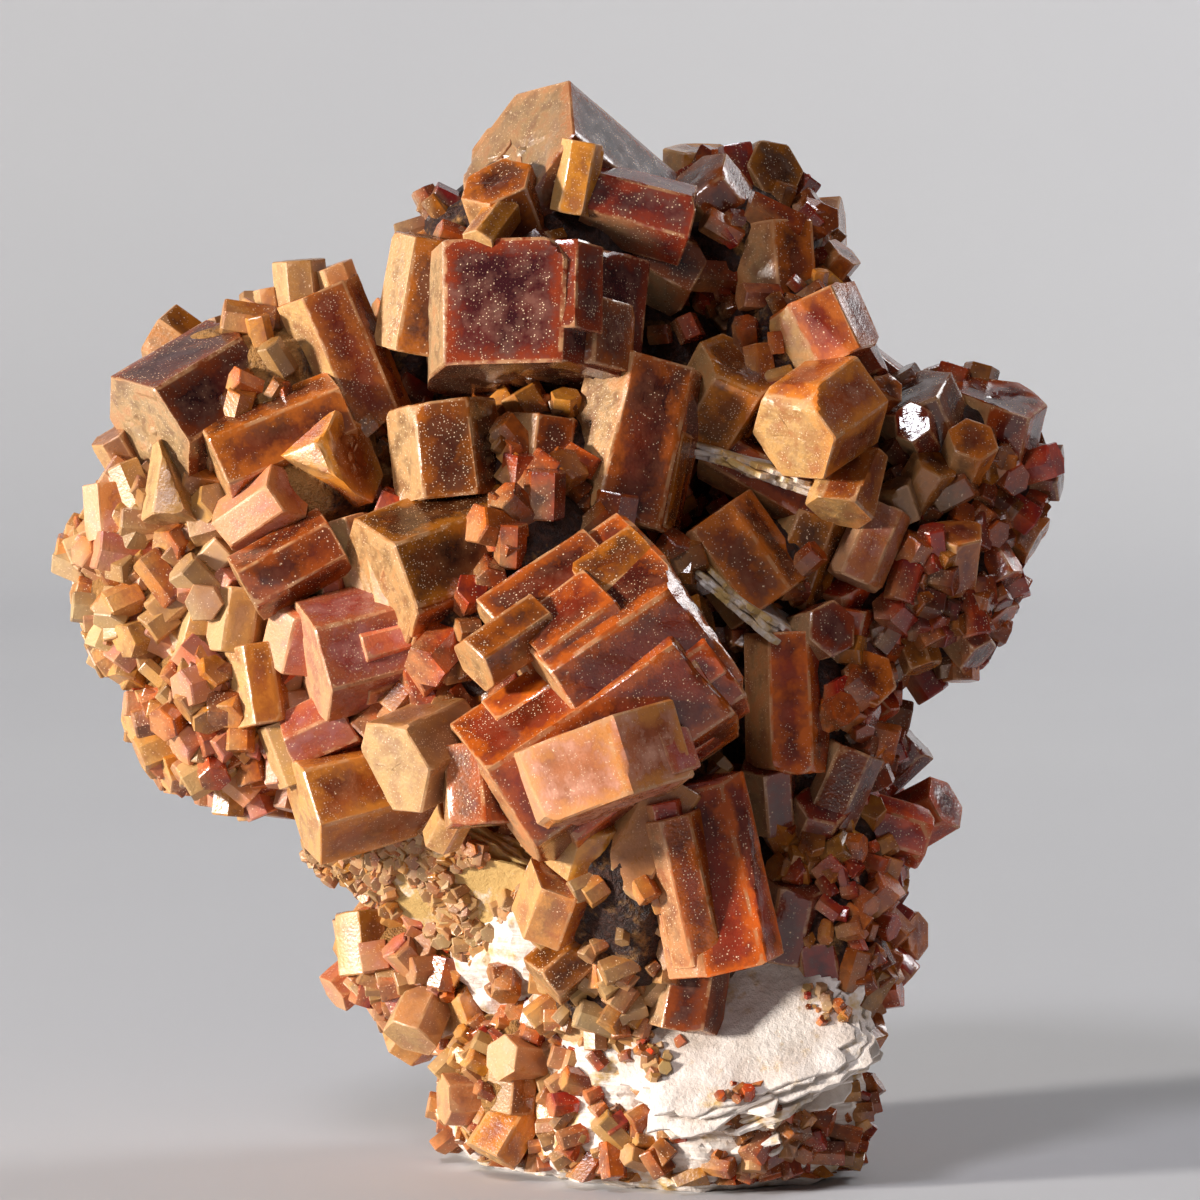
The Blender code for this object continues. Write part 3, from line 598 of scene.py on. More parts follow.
def spread_directions(count: int, rng: random.Random) -> Iterator[Vector]:
    """Directions spread evenly over a sphere, each moved a little.

    Args:
        count: how many.
        rng: where the random numbers come from.

    Yields:
        Each unit vector.
    """
    golden = math.pi * (3 - math.sqrt(5))
    for k in range(count):
        z = 1 - (2 * k + 1) / count
        ring = math.sqrt(1 - z * z)
        point = Vector((ring * math.cos(golden * k), ring * math.sin(golden * k), z))
        yield (point + SCATTER * Vector(rng.gauss(0, 1) for _ in range(3))).normalized()


class Waves:
    """A smooth random field over space, between about -1 and 1."""

    def __init__(self, rng: np.random.Generator, size: float, count: int = 7) -> None:
        """Chooses the waves.

        Args:
            rng: where the random numbers come from.
            size: mm across one bump.
            count: how many waves are added up.
        """
        turns = rng.normal(size=(count, 3))
        self.turns = turns / np.linalg.norm(turns, axis=1, keepdims=True) * math.pi / size
        self.turns *= rng.uniform(0.6, 1.6, (count, 1))
        self.starts = rng.uniform(0, 2 * math.pi, count)

    def at(self, points: np.ndarray) -> np.ndarray:
        """The field's value at each point."""
        waves = np.sin(points @ self.turns.T + self.starts)
        return waves.sum(axis=-1) / math.sqrt(len(self.starts))


class Pile:
    """The points and faces of one piece, gathered before they become a mesh."""

    def __init__(self) -> None:
        """Starts with nothing."""
        self.points: list[np.ndarray] = []
        self.quads: list[np.ndarray] = []
        self.fans: list[np.ndarray] = []
        self.quad_tones: list[np.ndarray] = []
        self.fan_tones: list[np.ndarray] = []
        self.values: dict[str, list[np.ndarray]] = {
            name: [] for name in ("place", "lit_paleness_and_stain", "rim", "shade")
        }
        self.count = 0

    def add(
        self,
        points: np.ndarray,
        place: np.ndarray,
        lit_paleness_and_stain: np.ndarray | float,
        rim: np.ndarray | float,
        shade: float,
        quads: np.ndarray,
        fans: np.ndarray,
        tone: int,
    ) -> None:
        """Adds one closed shape.

        Args:
            points: its points in mm.
            place: where each point is in the shape's own axes, in mm, for the grain.
            lit_paleness_and_stain: 0 to 1; on crystals, painted light: how pale a point is painted
                as lit, and how dull; on rock, its stain.
            rim: mm from each point to the nearest edge.
            shade: the shape's own brightness, 0 to 1.
            quads: its four-sided faces.
            fans: its three-sided faces.
            tone: index of its material.
        """
        self.points.append(points)
        self.quads.append(quads + self.count)
        self.fans.append(fans + self.count)
        self.quad_tones.append(np.full(len(quads), tone))
        self.fan_tones.append(np.full(len(fans), tone))
        self.values["place"].append(place)
        for name, value in (("lit_paleness_and_stain", lit_paleness_and_stain), ("rim", rim), ("shade", shade)):
            self.values[name].append(np.broadcast_to(np.asarray(value, float), len(points)))
        self.count += len(points)

    def piece(
        self, name: str, materials: Materials, lowest: float, sharp: float
    ) -> bpy.types.Object:
        """Makes the object.

        Args:
            name: the piece's name.
            materials: its materials, in the order that the tones index.
            lowest: nothing reaches lower than this height in mm.
            sharp: edges between faces at a greater angle than this stay sharp, in degrees.

        Returns:
            The new object.
        """
        points = np.concatenate(self.points)
        points[:, 2] = np.maximum(points[:, 2], lowest)
        mesh = bpy.data.meshes.new(name)
        mesh.vertices.add(len(points))
        mesh.vertices.foreach_set("co", (points * MM).astype(np.float32).ravel())
        for material in materials:
            mesh.materials.append(material)
        self.add_faces(mesh)
        self.describe_points(mesh)
        mesh.update(calc_edges=True)
        mesh.validate()
        mesh.shade_smooth()
        mesh.set_sharp_from_angle(angle=math.radians(sharp))
        obj = bpy.data.objects.new(name, mesh)
        bpy.context.scene.collection.objects.link(obj)
        return obj

    def add_faces(self, mesh: bpy.types.Mesh) -> None:
        """Gives a mesh the four-sided faces and then the three-sided ones, with their materials.

        Args:
            mesh: it has its points and its materials.
        """
        quads, fans = np.concatenate(self.quads), np.concatenate(self.fans)
        corners = np.concatenate([quads.ravel(), fans.ravel()]).astype(np.int32)
        mesh.loops.add(len(corners))
        mesh.loops.foreach_set("vertex_index", corners)
        fan_starts = len(quads) * 4 + np.arange(len(fans)) * 3
        starts = np.concatenate([np.arange(len(quads)) * 4, fan_starts])
        mesh.polygons.add(len(starts))
        mesh.polygons.foreach_set("loop_start", starts.astype(np.int32))
        tones = np.concatenate(self.quad_tones + self.fan_tones).astype(np.int32)
        mesh.polygons.foreach_set("material_index", tones)

    def describe_points(self, mesh: bpy.types.Mesh) -> None:
        """Keeps on a mesh what its materials need to know about each point.

        Args:
            mesh: it has its points.
        """
        for label, parts in self.values.items():
            kind, key = ("FLOAT_VECTOR", "vector") if label == "place" else ("FLOAT", "value")
            layer = mesh.attributes.new(label, kind, "POINT")
            layer.data.foreach_set(key, np.concatenate(parts).astype(np.float32).ravel())


def ring_faces(rings: int, around: int) -> tuple[np.ndarray, np.ndarray]:
    """Faces of a closed shape made of rings, with one point at each end.

    Args:
        rings: how many rings there are, from the bottom to the top.
        around: points in each ring. The bottom's middle and the top's come after all the rings.

    Returns:
        The four-sided faces, and the three-sided ones.
    """
    here = np.arange(around)
    ahead = (here + 1) % around
    rows = np.arange(rings - 1)[:, None] * around
    corners = [rows + here, rows + ahead, rows + around + ahead, rows + around + here]
    quads = np.stack(corners, axis=-1)
    bottom, top, last = rings * around, rings * around + 1, (rings - 1) * around
    fans = np.concatenate([
        np.stack([np.full(around, bottom), ahead, here], axis=-1),
        np.stack([np.full(around, top), last + here, last + ahead], axis=-1),
    ])
    return quads.reshape(-1, 4), fans


def cut_back(points: np.ndarray, normal: np.ndarray, reach: float, rough: np.ndarray) -> np.ndarray:
    """Points moved back onto a rough plane where they are past it."""
    past = points @ normal - reach + rough
    return points - np.maximum(past, 0)[..., None] * normal


@dataclass(frozen=True)
class Habit:
    """How finely and how roughly crystals are made."""

    cell: float  # mm between points of a face
    rim: float  # width of the worn edge, as a share of the crystal's width
    step: float  # height in mm of a growth step, on a crystal 1 mm wide
    terraces: int  # steps on each end
    chips: int  # broken corners


GREAT = Habit(cell=0.28, rim=0.010, step=0.022, terraces=3, chips=4)
LARGE = Habit(cell=0.23, rim=0.014, step=0.020, terraces=2, chips=3)
SMALL = Habit(cell=0.26, rim=0.022, step=0.022, terraces=1, chips=2)
HIDDEN = Habit(cell=0.52, rim=0.022, step=0.026, terraces=1, chips=1)
GREAT_WIDTH, LARGE_WIDTH = 6.5, 3.0
UNEVEN = 0.08  # by this share the sides of a crystal are nearer to its axis than they might be
TAPER = 0.035  # by this share one end of a crystal may be wider than its middle
STEP_POWER = 0.6  # steps grow more slowly than the crystal's width
SIDE_STEP, END_STEP, RIPPLE = 0.35, 0.3, 0.06  # heights, as shares of the crystal's own step
LOWEST_RELIEF, HIGHEST_RELIEF = -2.5, 1.6  # limits for a side, the same way
TERRACES = [-1.6, -0.9, 0.9]  # heights of the terraces, the same way
TERRACE_REACH = (0.3, 0.85)  # from a terrace's middle to its edge, of the way to a side
CHIP = (0.04, 0.09)  # depth of a broken corner, as shares of the crystal's width
CHIP_ROUGHNESS = 0.25  # of the crystal's own step
CHIP_SLANT, CHIP_TURN = (0.2, 1.4), 0.35  # how steep a break is, and how far it is turned
MOST_ACROSS, MOST_ALONG, MOST_INWARD = 28, 34, 16  # cells of a side both ways, and of an end
SIDES_APART = 40.0  # mm between the parts of the field of steps that two sides take
LIT_PALE_FROM, LIT_PALE_RISE = 0.3, 0.3  # cosine from which a face is painted pale as lit, and dull, and from there to all of it
LIT_PALE_LEFT, LIT_PALE_FADE = 0.7, 0.95  # how pale a crystal's middle is painted as lit, and how that painted light fades rightwards
COS_60, SIN_60, COS_30 = 0.5, math.sin(math.radians(60)), math.cos(math.radians(30))
FACE_TURNS = np.radians(60 * np.arange(1, 7))  # the way that each of the six sides faces
FACE_NORMALS = np.stack([np.cos(FACE_TURNS), np.sin(FACE_TURNS), np.zeros(6)], axis=1)


def lit_paleness(normals: np.ndarray) -> np.ndarray:
    """How pale faces with these normals are painted as lit by the key light (painted light), and
    how dull, 0 to 1.
    """
    return np.clip((normals @ np.array(LIT_PALE_SIDE) - LIT_PALE_FROM) / LIT_PALE_RISE, 0, 1)


class CrystalGrowth:
    """Turns a prism into a grown crystal: stepped faces, worn edges and broken corners."""

    def __init__(self, prism: Prism, habit: Habit, seed: int) -> None:
        """Keeps what the growth needs.

        Args:
            prism: the crystal's place and size.
            habit: how fine and how rough it is.
            seed: makes this crystal unlike the others.
        """
        self.prism, self.habit = prism, habit
        self.rng = np.random.default_rng(seed)
        self.radius = prism.width / 2
        self.apothem = self.radius * COS_30
        self.half = prism.length / 2
        self.bevel = habit.rim * prism.width
        self.step = habit.step * prism.width ** STEP_POWER

    def cells(self, size: float, most: int) -> int:
        """How many cells a size in mm is parted into."""
        return int(np.clip(round(size / self.habit.cell), 1, most))

    def outline(self) -> tuple[np.ndarray, np.ndarray, np.ndarray, np.ndarray]:
        """Points round an uneven hexagon.

        Returns:
            The points in mm, the side that each is on, mm from the middle of that side, and mm
            from the nearest corner.
        """
        normals = FACE_NORMALS[:, :2]
        tangents = np.stack([-normals[:, 1], normals[:, 0]], axis=1)
        reach = self.apothem * (1 + self.rng.uniform(-UNEVEN, UNEVEN / 4, 6))
        slide = (np.roll(reach, -1) - reach * COS_60) / SIN_60
        corners = reach[:, None] * normals + slide[:, None] * tangents
        count = self.cells(self.radius, MOST_ACROSS) + 1
        points, along, inward = [], [], []
        for start, end in zip(np.roll(corners, 1, axis=0), corners):
            long = np.linalg.norm(end - start)
            steps = np.linspace(self.bevel / long, 1 - self.bevel / long, count)
            points.append(start + steps[:, None] * (end - start))
            along.append((steps - 0.5) * long)
            inward.append((0.5 - abs(steps - 0.5)) * long)
        sides = np.repeat(np.arange(6), count)
        return np.concatenate(points), sides, np.concatenate(along), np.concatenate(inward)

    def side_relief(self, side: np.ndarray, along: np.ndarray, z: np.ndarray) -> np.ndarray:
        """How far each point of the sides stands out, in mm.

        Args:
            side: the side that each point of the outline is on.
            along: mm from the middle of that side.
            z: mm along the crystal of each row of points.

        Returns:
            The heights, row by row.
        """
        unrolled = np.broadcast_to(side * SIDES_APART + along, z.shape)
        spots = np.stack([unrolled, z * 0.9, np.zeros_like(z)], axis=-1)
        field = Waves(self.rng, 1.5 + 0.25 * self.prism.width).at(spots)
        relief = self.step * SIDE_STEP * np.round(field * 1.3)
        relief += self.step * RIPPLE * Waves(self.rng, 0.55).at(spots)
        return np.clip(relief, LOWEST_RELIEF * self.step, HIGHEST_RELIEF * self.step)

    def end_relief(self, flat: np.ndarray) -> np.ndarray:
        """How far each point of an end stands out, in mm, in steps of the crystal's outline.

        Args:
            flat: the end's points in mm.

        Returns:
            Their heights.
        """
        field = Waves(self.rng, 1.2 + 0.2 * self.prism.width).at(flat)
        relief = self.step * END_STEP * np.round(field)
        for _ in range(self.habit.terraces):
            shift = self.rng.uniform(-0.35, 0.35, 2) * self.radius
            out = ((flat[..., :2] - shift) @ FACE_NORMALS[:, :2].T).max(axis=-1)
            height = self.step * self.rng.choice(TERRACES)
            relief = relief + height * (out < self.rng.uniform(*TERRACE_REACH) * self.apothem)
        return relief

    def grow(self, pile: Pile) -> None:
        """Adds the crystal to a pile.

        Args:
            pile: what it is added to.
        """
        flat, side, along, inward = self.outline()
        ends = self.cells(self.apothem, MOST_INWARD)
        inner = 1 - self.bevel / self.apothem
        cap_scales = inner * np.arange(1, ends + 1) / ends
        rows = self.cells(self.prism.length, MOST_ALONG) + 1
        heights = np.linspace(self.bevel - self.half, self.half - self.bevel, rows)
        scales = np.concatenate([cap_scales, np.ones(rows), cap_scales[::-1]])
        z = np.concatenate([np.full(ends, -self.half), heights, np.full(ends, self.half)])
        taper = 1 + self.rng.uniform(-TAPER, TAPER) * z / self.half
        points = np.empty((len(z), len(flat), 3))
        points[..., :2] = flat * (scales * taper)[:, None, None]
        points[..., 2] = z[:, None]
        middle = slice(ends, ends + rows)
        relief = self.side_relief(side, along, points[middle, :, 2])
        points[middle] += relief[..., None] * FACE_NORMALS[side]
        points[:ends, :, 2] -= self.end_relief(points[:ends])
        points[-ends:, :, 2] += self.end_relief(points[-ends:])
        points = np.concatenate([points.reshape(-1, 3), [(0, 0, -self.half), (0, 0, self.half)]])
        points = self.chipped(points)
        turn = self.prism.turn()
        rim = np.empty((len(z), len(flat)))
        rim[middle] = np.minimum(inward, self.half - abs(heights)[:, None]) - self.bevel
        rim[:ends] = ((inner - cap_scales) * self.apothem)[:, None]
        rim[-ends:] = rim[:ends][::-1]
        # Painted light: sides and ends that face the key light are painted pale, fading towards
        # each crystal's right.
        lit_paleness_and_stain = np.empty_like(rim)
        lit_paleness_and_stain[middle] = lit_paleness(FACE_NORMALS @ turn.T)[side]
        lit_paleness_and_stain[:ends] = lit_paleness(-turn[:, 2])
        lit_paleness_and_stain[-ends:] = lit_paleness(turn[:, 2])
        lit_paleness_and_stain = np.append(lit_paleness_and_stain.ravel(), [lit_paleness_and_stain[0, 0], lit_paleness_and_stain[-1, 0]])
        turned = points @ turn.T
        lit_paleness_and_stain *= np.clip(LIT_PALE_LEFT - LIT_PALE_FADE * turned[:, 0] / self.radius, 0, 1)
        quads, fans = ring_faces(len(z), len(flat))
        pile.add(
            turned + np.array(self.prism.centre),
            points + self.rng.uniform(*GRAIN_SHIFTS, 3),
            lit_paleness_and_stain,
            np.append(rim.ravel(), [self.apothem, self.apothem]),
            self.rng.uniform(0, 1),
            quads,
            fans,
            self.prism.tone.value,
        )

    def chipped(self, points: np.ndarray) -> np.ndarray:
        """The points with a few corners and edges broken off.

        Args:
            points: the crystal's points in mm.

        Returns:
            Where they are then.
        """
        rough = CHIP_ROUGHNESS * self.step * Waves(self.rng, 0.5).at(points)
        for _ in range(self.habit.chips):
            turn = math.radians(30 + 60 * self.rng.integers(6))
            corner = np.array((math.cos(turn), math.sin(turn), self.rng.choice([-1, 1])))
            reach = corner * (self.radius, self.radius, self.half)
            normal = corner * (1, 1, self.rng.uniform(*CHIP_SLANT))
            normal += self.rng.normal(0, CHIP_TURN, 3)
            normal /= np.linalg.norm(normal)
            depth = self.rng.uniform(*CHIP) * self.prism.width
            points = cut_back(points, normal, reach @ normal - depth, rough)
        return points


TWINNED_WIDTH = 4.7  # mm: from this width on, smaller crystals grow along a crystal
TWINS = 2  # how many
TWIN_WIDTHS, TWIN_LENGTHS = (0.3, 0.62), (0.35, 0.9)  # shares of the large crystal's own
TWIN_PROUD = (0.010, 0.035)  # how far they stand out of its side, of its width
TWIN_ACROSS, TWIN_ALONG = (-0.6, 0.6), (0.3, 1.15)  # how far they are off its middle, both ways
TWIN_TURN = 0.02  # how far they are turned from its axis


def grown_along(prism: Prism, seed: int) -> Iterator[Prism]:
    """The smaller crystals that grew along a large one and stand a little out of it.

    Args:
        prism: the large crystal.
        seed: for the random numbers.

    Yields:
        Each smaller crystal, turned almost the same way.
    """
    rng = random.Random(seed)
    for _ in range(TWINS):
        width = prism.width * rng.uniform(*TWIN_WIDTHS)
        length = prism.length * rng.uniform(*TWIN_LENGTHS)
        way = Matrix.Rotation(math.radians(60 * rng.randrange(6)), 3, prism.axis) @ prism.side
        proud = prism.width * rng.uniform(*TWIN_PROUD)
        out = (prism.width - width) / 2 * COS_30 + proud
        across = (prism.width - width) / 2 * rng.uniform(*TWIN_ACROSS)
        along = (prism.length - length) / 2 * rng.choice((-1, 1)) * rng.uniform(*TWIN_ALONG)
        centre = prism.centre + out * way + across * prism.axis.cross(way) + along * prism.axis
        turn = TWIN_TURN * Vector(rng.gauss(0, 1) for _ in range(3))
        axis = (prism.axis + turn).normalized()
        side = (prism.side - prism.side.dot(axis) * axis).normalized()
        yield Prism(centre, axis, side, width, length, prism.tone)


def habit_of(prism: Prism, shown: bool) -> Habit:
    """The habit that suits a crystal's size and its side of the specimen.

    Args:
        prism: the crystal.
        shown: whether it is seen from the front.

    Returns:
        The habit.
    """
    if not shown:
        return HIDDEN
    if prism.width >= GREAT_WIDTH:
        return GREAT
    return LARGE if prism.width >= LARGE_WIDTH else SMALL


class Company:
    """All the crystals and lumps at once, to tell whether a place is already taken."""

    def __init__(self, prisms: list[Prism], lumps: list[Lump]) -> None:
        """Keeps the crystals as arrays.

        Args:
            prisms: the larger crystals.
            lumps: the ground of all the masses.
        """
        self.centres = np.array([prism.centre for prism in prisms])
        self.turns = np.array([prism.turn() for prism in prisms])
        self.halves = np.array([prism.length / 2 for prism in prisms])
        self.apothems = np.array([prism.width / 2 * COS_30 for prism in prisms])
        self.lumps = lumps

    def takes(self, point: Vector, lump: Lump, margin: float) -> bool:
        """Whether a point in mm is inside a crystal, or inside a lump other than its own.

        Args:
            point: the point in mm.
            lump: its own lump.
            margin: mm by which it may be inside a crystal.

        Returns:
            Whether it is inside one.
        """
        local = np.einsum("nji,nj->ni", self.turns, np.array(point) - self.centres)
        out = (local @ FACE_NORMALS.T).max(axis=1)
        if ((out < self.apothems - margin) & (abs(local[:, 2]) < self.halves - margin)).any():
            return True
        return any(other.holds(point) for other in self.lumps if other is not lump)


TINY_RINGS = ((0.94, 0.0), (1.0, 0.04), (1.0, 0.96), (0.94, 1.0))  # scale, share of the length
TINY_CORNERS = (0.86, 1.06)  # how far its corners reach, of half its width
TINY_RIM = 0.3  # mm: small crystals get the painted glow all over, as the large ones do at their edges
TINY_LIT_PALE = 0.8  # how pale they are painted as lit, and how dull, of what large ones get


def add_tiny(pile: Pile, prism: Prism, rng: np.random.Generator) -> None:
    """Adds one small crystal: a plain six-sided prism with worn rims.

    Args:
        pile: what it is added to.
        prism: its place and size.
        rng: where the random numbers come from.
    """
    flat = np.array([(math.cos(t), math.sin(t)) for t in np.radians(30 + 60 * np.arange(6))])
    flat *= prism.width / 2 * rng.uniform(*TINY_CORNERS, (6, 1))
    rings = [
        np.column_stack([flat * scale, np.full(6, (share - 0.5) * prism.length)])
        for scale, share in TINY_RINGS
    ]
    points = np.concatenate([*rings, [(0, 0, -0.5 * prism.length), (0, 0, 0.5 * prism.length)]])
    turn = prism.turn()
    quads, fans = ring_faces(len(TINY_RINGS), 6)
    directions = points / np.linalg.norm(points, axis=1, keepdims=True)
    pile.add(
        points @ turn.T + np.array(prism.centre),
        points + rng.uniform(*GRAIN_SHIFTS, 3),
        TINY_LIT_PALE * lit_paleness(directions @ turn.T),
        TINY_RIM,
        rng.uniform(0, 1),
        quads,
        fans,
        prism.tone.value,
    )


LEDGES, KNOBS, FINE = 0.7, 1.1, 0.4  # their heights on a lump, as shares of its grain


def add_lump(pile: Pile, lump: Lump, finer: int, grain: float, stain: float, tone: int) -> None:
    """Adds one rough lump.

    Args:
        pile: what it is added to.
        lump: its place and size.
        finer: how often the sphere that it starts from is subdivided.
        grain: height in mm of the knobs and ledges on it.
        stain: how yellow it is, 0 to 1.
        tone: index of its material.
    """
    bm = bmesh.new()
    bmesh.ops.create_icosphere(bm, subdivisions=finer, radius=1)
    directions = [vertex.co.normalized() for vertex in bm.verts]
    faces = np.array([[vertex.index for vertex in face.verts] for face in bm.faces])
    bm.free()
    points = []
    for direction in directions:
        point = lump.surface(direction)
        ledges = noise.noise(point * 0.9) + 0.5 * round(2.2 * noise.noise(point * 0.5))
        knobs = 0.6 - noise.voronoi(point * 1.1)[0][0]
        fine = noise.noise(point * 3.2)
        height = grain * (LEDGES * ledges + KNOBS * knobs + FINE * fine)
        points.append(point + height * direction)
    points = np.array(points)
    pile.add(points, points, stain, 1.0, 0.5, np.empty((0, 4), int), faces, tone)


class Graph:
    """A short way of making shader nodes in one tree."""

    def __init__(self, tree: bpy.types.NodeTree) -> None:
        """Works in this tree."""
        self.tree = tree

    def add(self, kind: str, values: dict | None = None, **settings: object) -> bpy.types.Node:
        """Makes a node.

        Args:
            kind: the node's type.
            values: for its inputs, by name or number: a socket to link, or a value.
            settings: for its properties.

        Returns:
            The node.
        """
        node = self.tree.nodes.new(kind)
        for key, value in settings.items():
            setattr(node, key, value)
        for key, value in (values or {}).items():
            if isinstance(value, bpy.types.NodeSocket):
                self.tree.links.new(value, node.inputs[key])
            else:
                node.inputs[key].default_value = value
        return node

    def math(self, operation: str, a: object, b: object = 0.0) -> bpy.types.NodeSocket:
        """Result of one sum."""
        return self.add("ShaderNodeMath", {0: a, 1: b}, operation=operation).outputs[0]

    def mix(self, factor: object, a: object, b: object) -> bpy.types.NodeSocket:
        """Colour between two colours."""
        return self.add("ShaderNodeMix", {0: factor, 6: a, 7: b}, data_type="RGBA").outputs[2]

    def spread(
        self, value: object, low: float, high: float, to_low: float = 0, to_high: float = 1
    ) -> bpy.types.NodeSocket:
        """A value's range stretched to another one, and clamped."""
        ends = {"From Min": low, "From Max": high, "To Min": to_low, "To Max": to_high}
        return self.add("ShaderNodeMapRange", {"Value": value, **ends}).outputs["Result"]

    def stretch(self, place: object, scale: tuple[float, float, float]) -> bpy.types.NodeSocket:
        """A place with its axes scaled."""
        values = {0: place, 1: scale}
        return self.add("ShaderNodeVectorMath", values, operation="MULTIPLY").outputs[0]

    def noise(
        self, place: object, scale: float, detail: float = 2.0, roughness: float = 0.5
    ) -> bpy.types.NodeSocket:
        """Soft noise at a place."""
        values = {"Vector": place, "Scale": scale, "Detail": detail, "Roughness": roughness}
        return self.add("ShaderNodeTexNoise", values).outputs[0]

    def layer(self, name: str, place: bool = False) -> bpy.types.NodeSocket:
        """What the mesh says about each point, under this name."""
        node = self.add("ShaderNodeAttribute", attribute_name=name)
        return node.outputs["Vector" if place else "Fac"]

    def use(self, group: bpy.types.NodeTree, values: dict) -> bpy.types.bpy_prop_collection:
        """Places a group, feeds it, and returns its outputs."""
        return self.add("ShaderNodeGroup", values, node_tree=group).outputs

    def feed(self, value: bpy.types.NodeSocket, socket: bpy.types.NodeSocket) -> None:
        """Links a value to a socket."""
        self.tree.links.new(value, socket)


class Effect:
    """A node group that several materials share."""

    def __init__(self, name: str, inputs: list[str], outputs: list[str]) -> None:
        """Makes the group with its sockets.

        Args:
            name: the group's name.
            inputs: the names of its inputs. Place is a vector, and the others are numbers.
            outputs: the names of its outputs, which are numbers.
        """
        self.tree = bpy.data.node_groups.new(name, "ShaderNodeTree")
        for way, labels in (("INPUT", inputs), ("OUTPUT", outputs)):
            for label in labels:
                kind = "NodeSocketVector" if label == "Place" else "NodeSocketFloat"
                self.tree.interface.new_socket(name=label, in_out=way, socket_type=kind)
        self.graph = Graph(self.tree)
        self.given = self.tree.nodes.new("NodeGroupInput").outputs
        self.results = self.tree.nodes.new("NodeGroupOutput").inputs

    def give(self, name: str, value: bpy.types.NodeSocket) -> None:
        """Links a result to an output."""
        self.tree.links.new(value, self.results[name])


def growth_zones() -> bpy.types.NodeTree:
    """Cloudy zones inside a crystal, and a finer haze.

    Returns:
        The node group.
    """
    effect = Effect("Growth zones", ["Place"], ["Clouds", "Haze"])
    graph, place = effect.graph, effect.given["Place"]
    effect.give("Clouds", graph.spread(graph.noise(place, 0.5, 2, 0.55), 0.38, 0.62))
    effect.give("Haze", graph.noise(place, 1.15, 3, 0.68))
    return effect.tree


# Of each size of painted glint: how close together, how wide in its cell, and how many cells lack
# one.
GLINT_SIZES = ((4.1, 0.17, 0.62), (9.5, 0.26, 0.42))


def painted_glints() -> bpy.types.NodeTree:
    """Painted glints: small bright points scattered over a face like glinting pits, thicker where
    there is haze.

    Returns:
        The node group.
    """
    effect = Effect("Painted glints", ["Place", "Haze", "Amount"], ["Mask"])
    graph, place = effect.graph, effect.given["Place"]
    masks = []
    for scale, radius, least in GLINT_SIZES:
        cells = graph.add("ShaderNodeTexVoronoi", {"Vector": place, "Scale": scale})
        parts = graph.add("ShaderNodeSeparateColor", {0: cells.outputs["Color"]})
        chosen = graph.math("GREATER_THAN", parts.outputs[0], least)
        spot = graph.spread(cells.outputs["Distance"], radius, radius * 0.5)
        masks.append(graph.math("MULTIPLY", chosen, spot))
    patches = graph.spread(effect.given["Haze"], 0.40, 0.58, 0.2, 1)
    mask = graph.math("MULTIPLY", graph.math("MAXIMUM", *masks), patches)
    effect.give("Mask", graph.math("MULTIPLY", mask, effect.given["Amount"]))
    return effect.tree


def painted_lit_skin() -> bpy.types.NodeTree:
    """Where a crystal is painted pale as lit by the key light (painted light): whole faces, thinner
    where there is haze.

    Returns:
        The node group.
    """
    effect = Effect("Painted lit skin", ["Haze", "Lit paleness", "Thickness"], ["Mask"])
    cover = effect.graph.math("MULTIPLY", effect.given["Lit paleness"], effect.given["Thickness"])
    worn = effect.graph.spread(effect.given["Haze"], 0.42, 0.64, 1, 0.35)
    effect.give("Mask", effect.graph.math("MULTIPLY", cover, worn))
    return effect.tree


EDGE_PAINT_REACH = (0.01, 0.07)  # mm from an edge, between which its pale paint fades: wear, and a painted highlight along the edge
PAINTED_GLOW_REACH = 0.62  # mm from an edge, as far as the painted glow reaches, standing in for light coming through
PAINTED_GLOW_WANDER = 0.35  # mm by which haze makes that more or less


def painted_edges_and_glow() -> bpy.types.NodeTree:
    """Where edges are painted pale in broken runs, as wear and as a painted highlight, and a
    painted glow near them standing in for light coming through.

    Returns:
        The node group.
    """
    effect = Effect("Edge wear, highlight and glow", ["Haze", "Rim", "Amount"], ["Worn and highlit", "Painted glow"])
    graph, haze, rim = effect.graph, effect.given["Haze"], effect.given["Rim"]
    near = graph.math("MULTIPLY", graph.spread(rim, *EDGE_PAINT_REACH, 1, 0), effect.given["Amount"])
    effect.give("Worn and highlit", graph.math("MULTIPLY", near, graph.spread(haze, 0.42, 0.56)))
    wander = graph.math("ADD", rim, graph.spread(haze, 0.35, 0.65, -PAINTED_GLOW_WANDER, PAINTED_GLOW_WANDER))
    effect.give("Painted glow", graph.spread(wander, 0.0, PAINTED_GLOW_REACH, 1, 0))
    return effect.tree


def face_grain() -> bpy.types.NodeTree:
    """Fine relief: pits, deeper on the faces painted pale as lit.

    Returns:
        The node group.
    """
    effect = Effect("Face grain", ["Place", "Pits"], ["Height"])
    pits = effect.graph.noise(effect.given["Place"], 8.0, 1)
    effect.give("Height", effect.graph.math("MULTIPLY", pits, effect.given["Pits"]))
    return effect.tree


ALONG_LAYERS = (0.3, 0.3, 5.5)  # how the grain is drawn out along a tablet's layers


def rock_layers() -> bpy.types.NodeTree:
    """The fine even layers of a tablet, their broken edges, and stains.

    Returns:
        The node group.
    """
    effect = Effect("Rock layers", ["Place"], ["Height", "Lines", "Grit", "Stain"])
    graph, place = effect.graph, effect.given["Place"]
    lines = graph.noise(graph.stretch(place, ALONG_LAYERS), 1.4, 3, 0.65)
    rough = graph.noise(place, 3.4, 4, 0.7)
    effect.give("Lines", graph.spread(lines, 0.38, 0.62))
    effect.give("Grit", graph.spread(rough, 0.4, 0.65))
    effect.give("Height", graph.math("ADD", graph.math("MULTIPLY", lines, 0.8), rough))
    effect.give("Stain", graph.noise(place, 0.7, 4, 0.68))
    return effect.tree


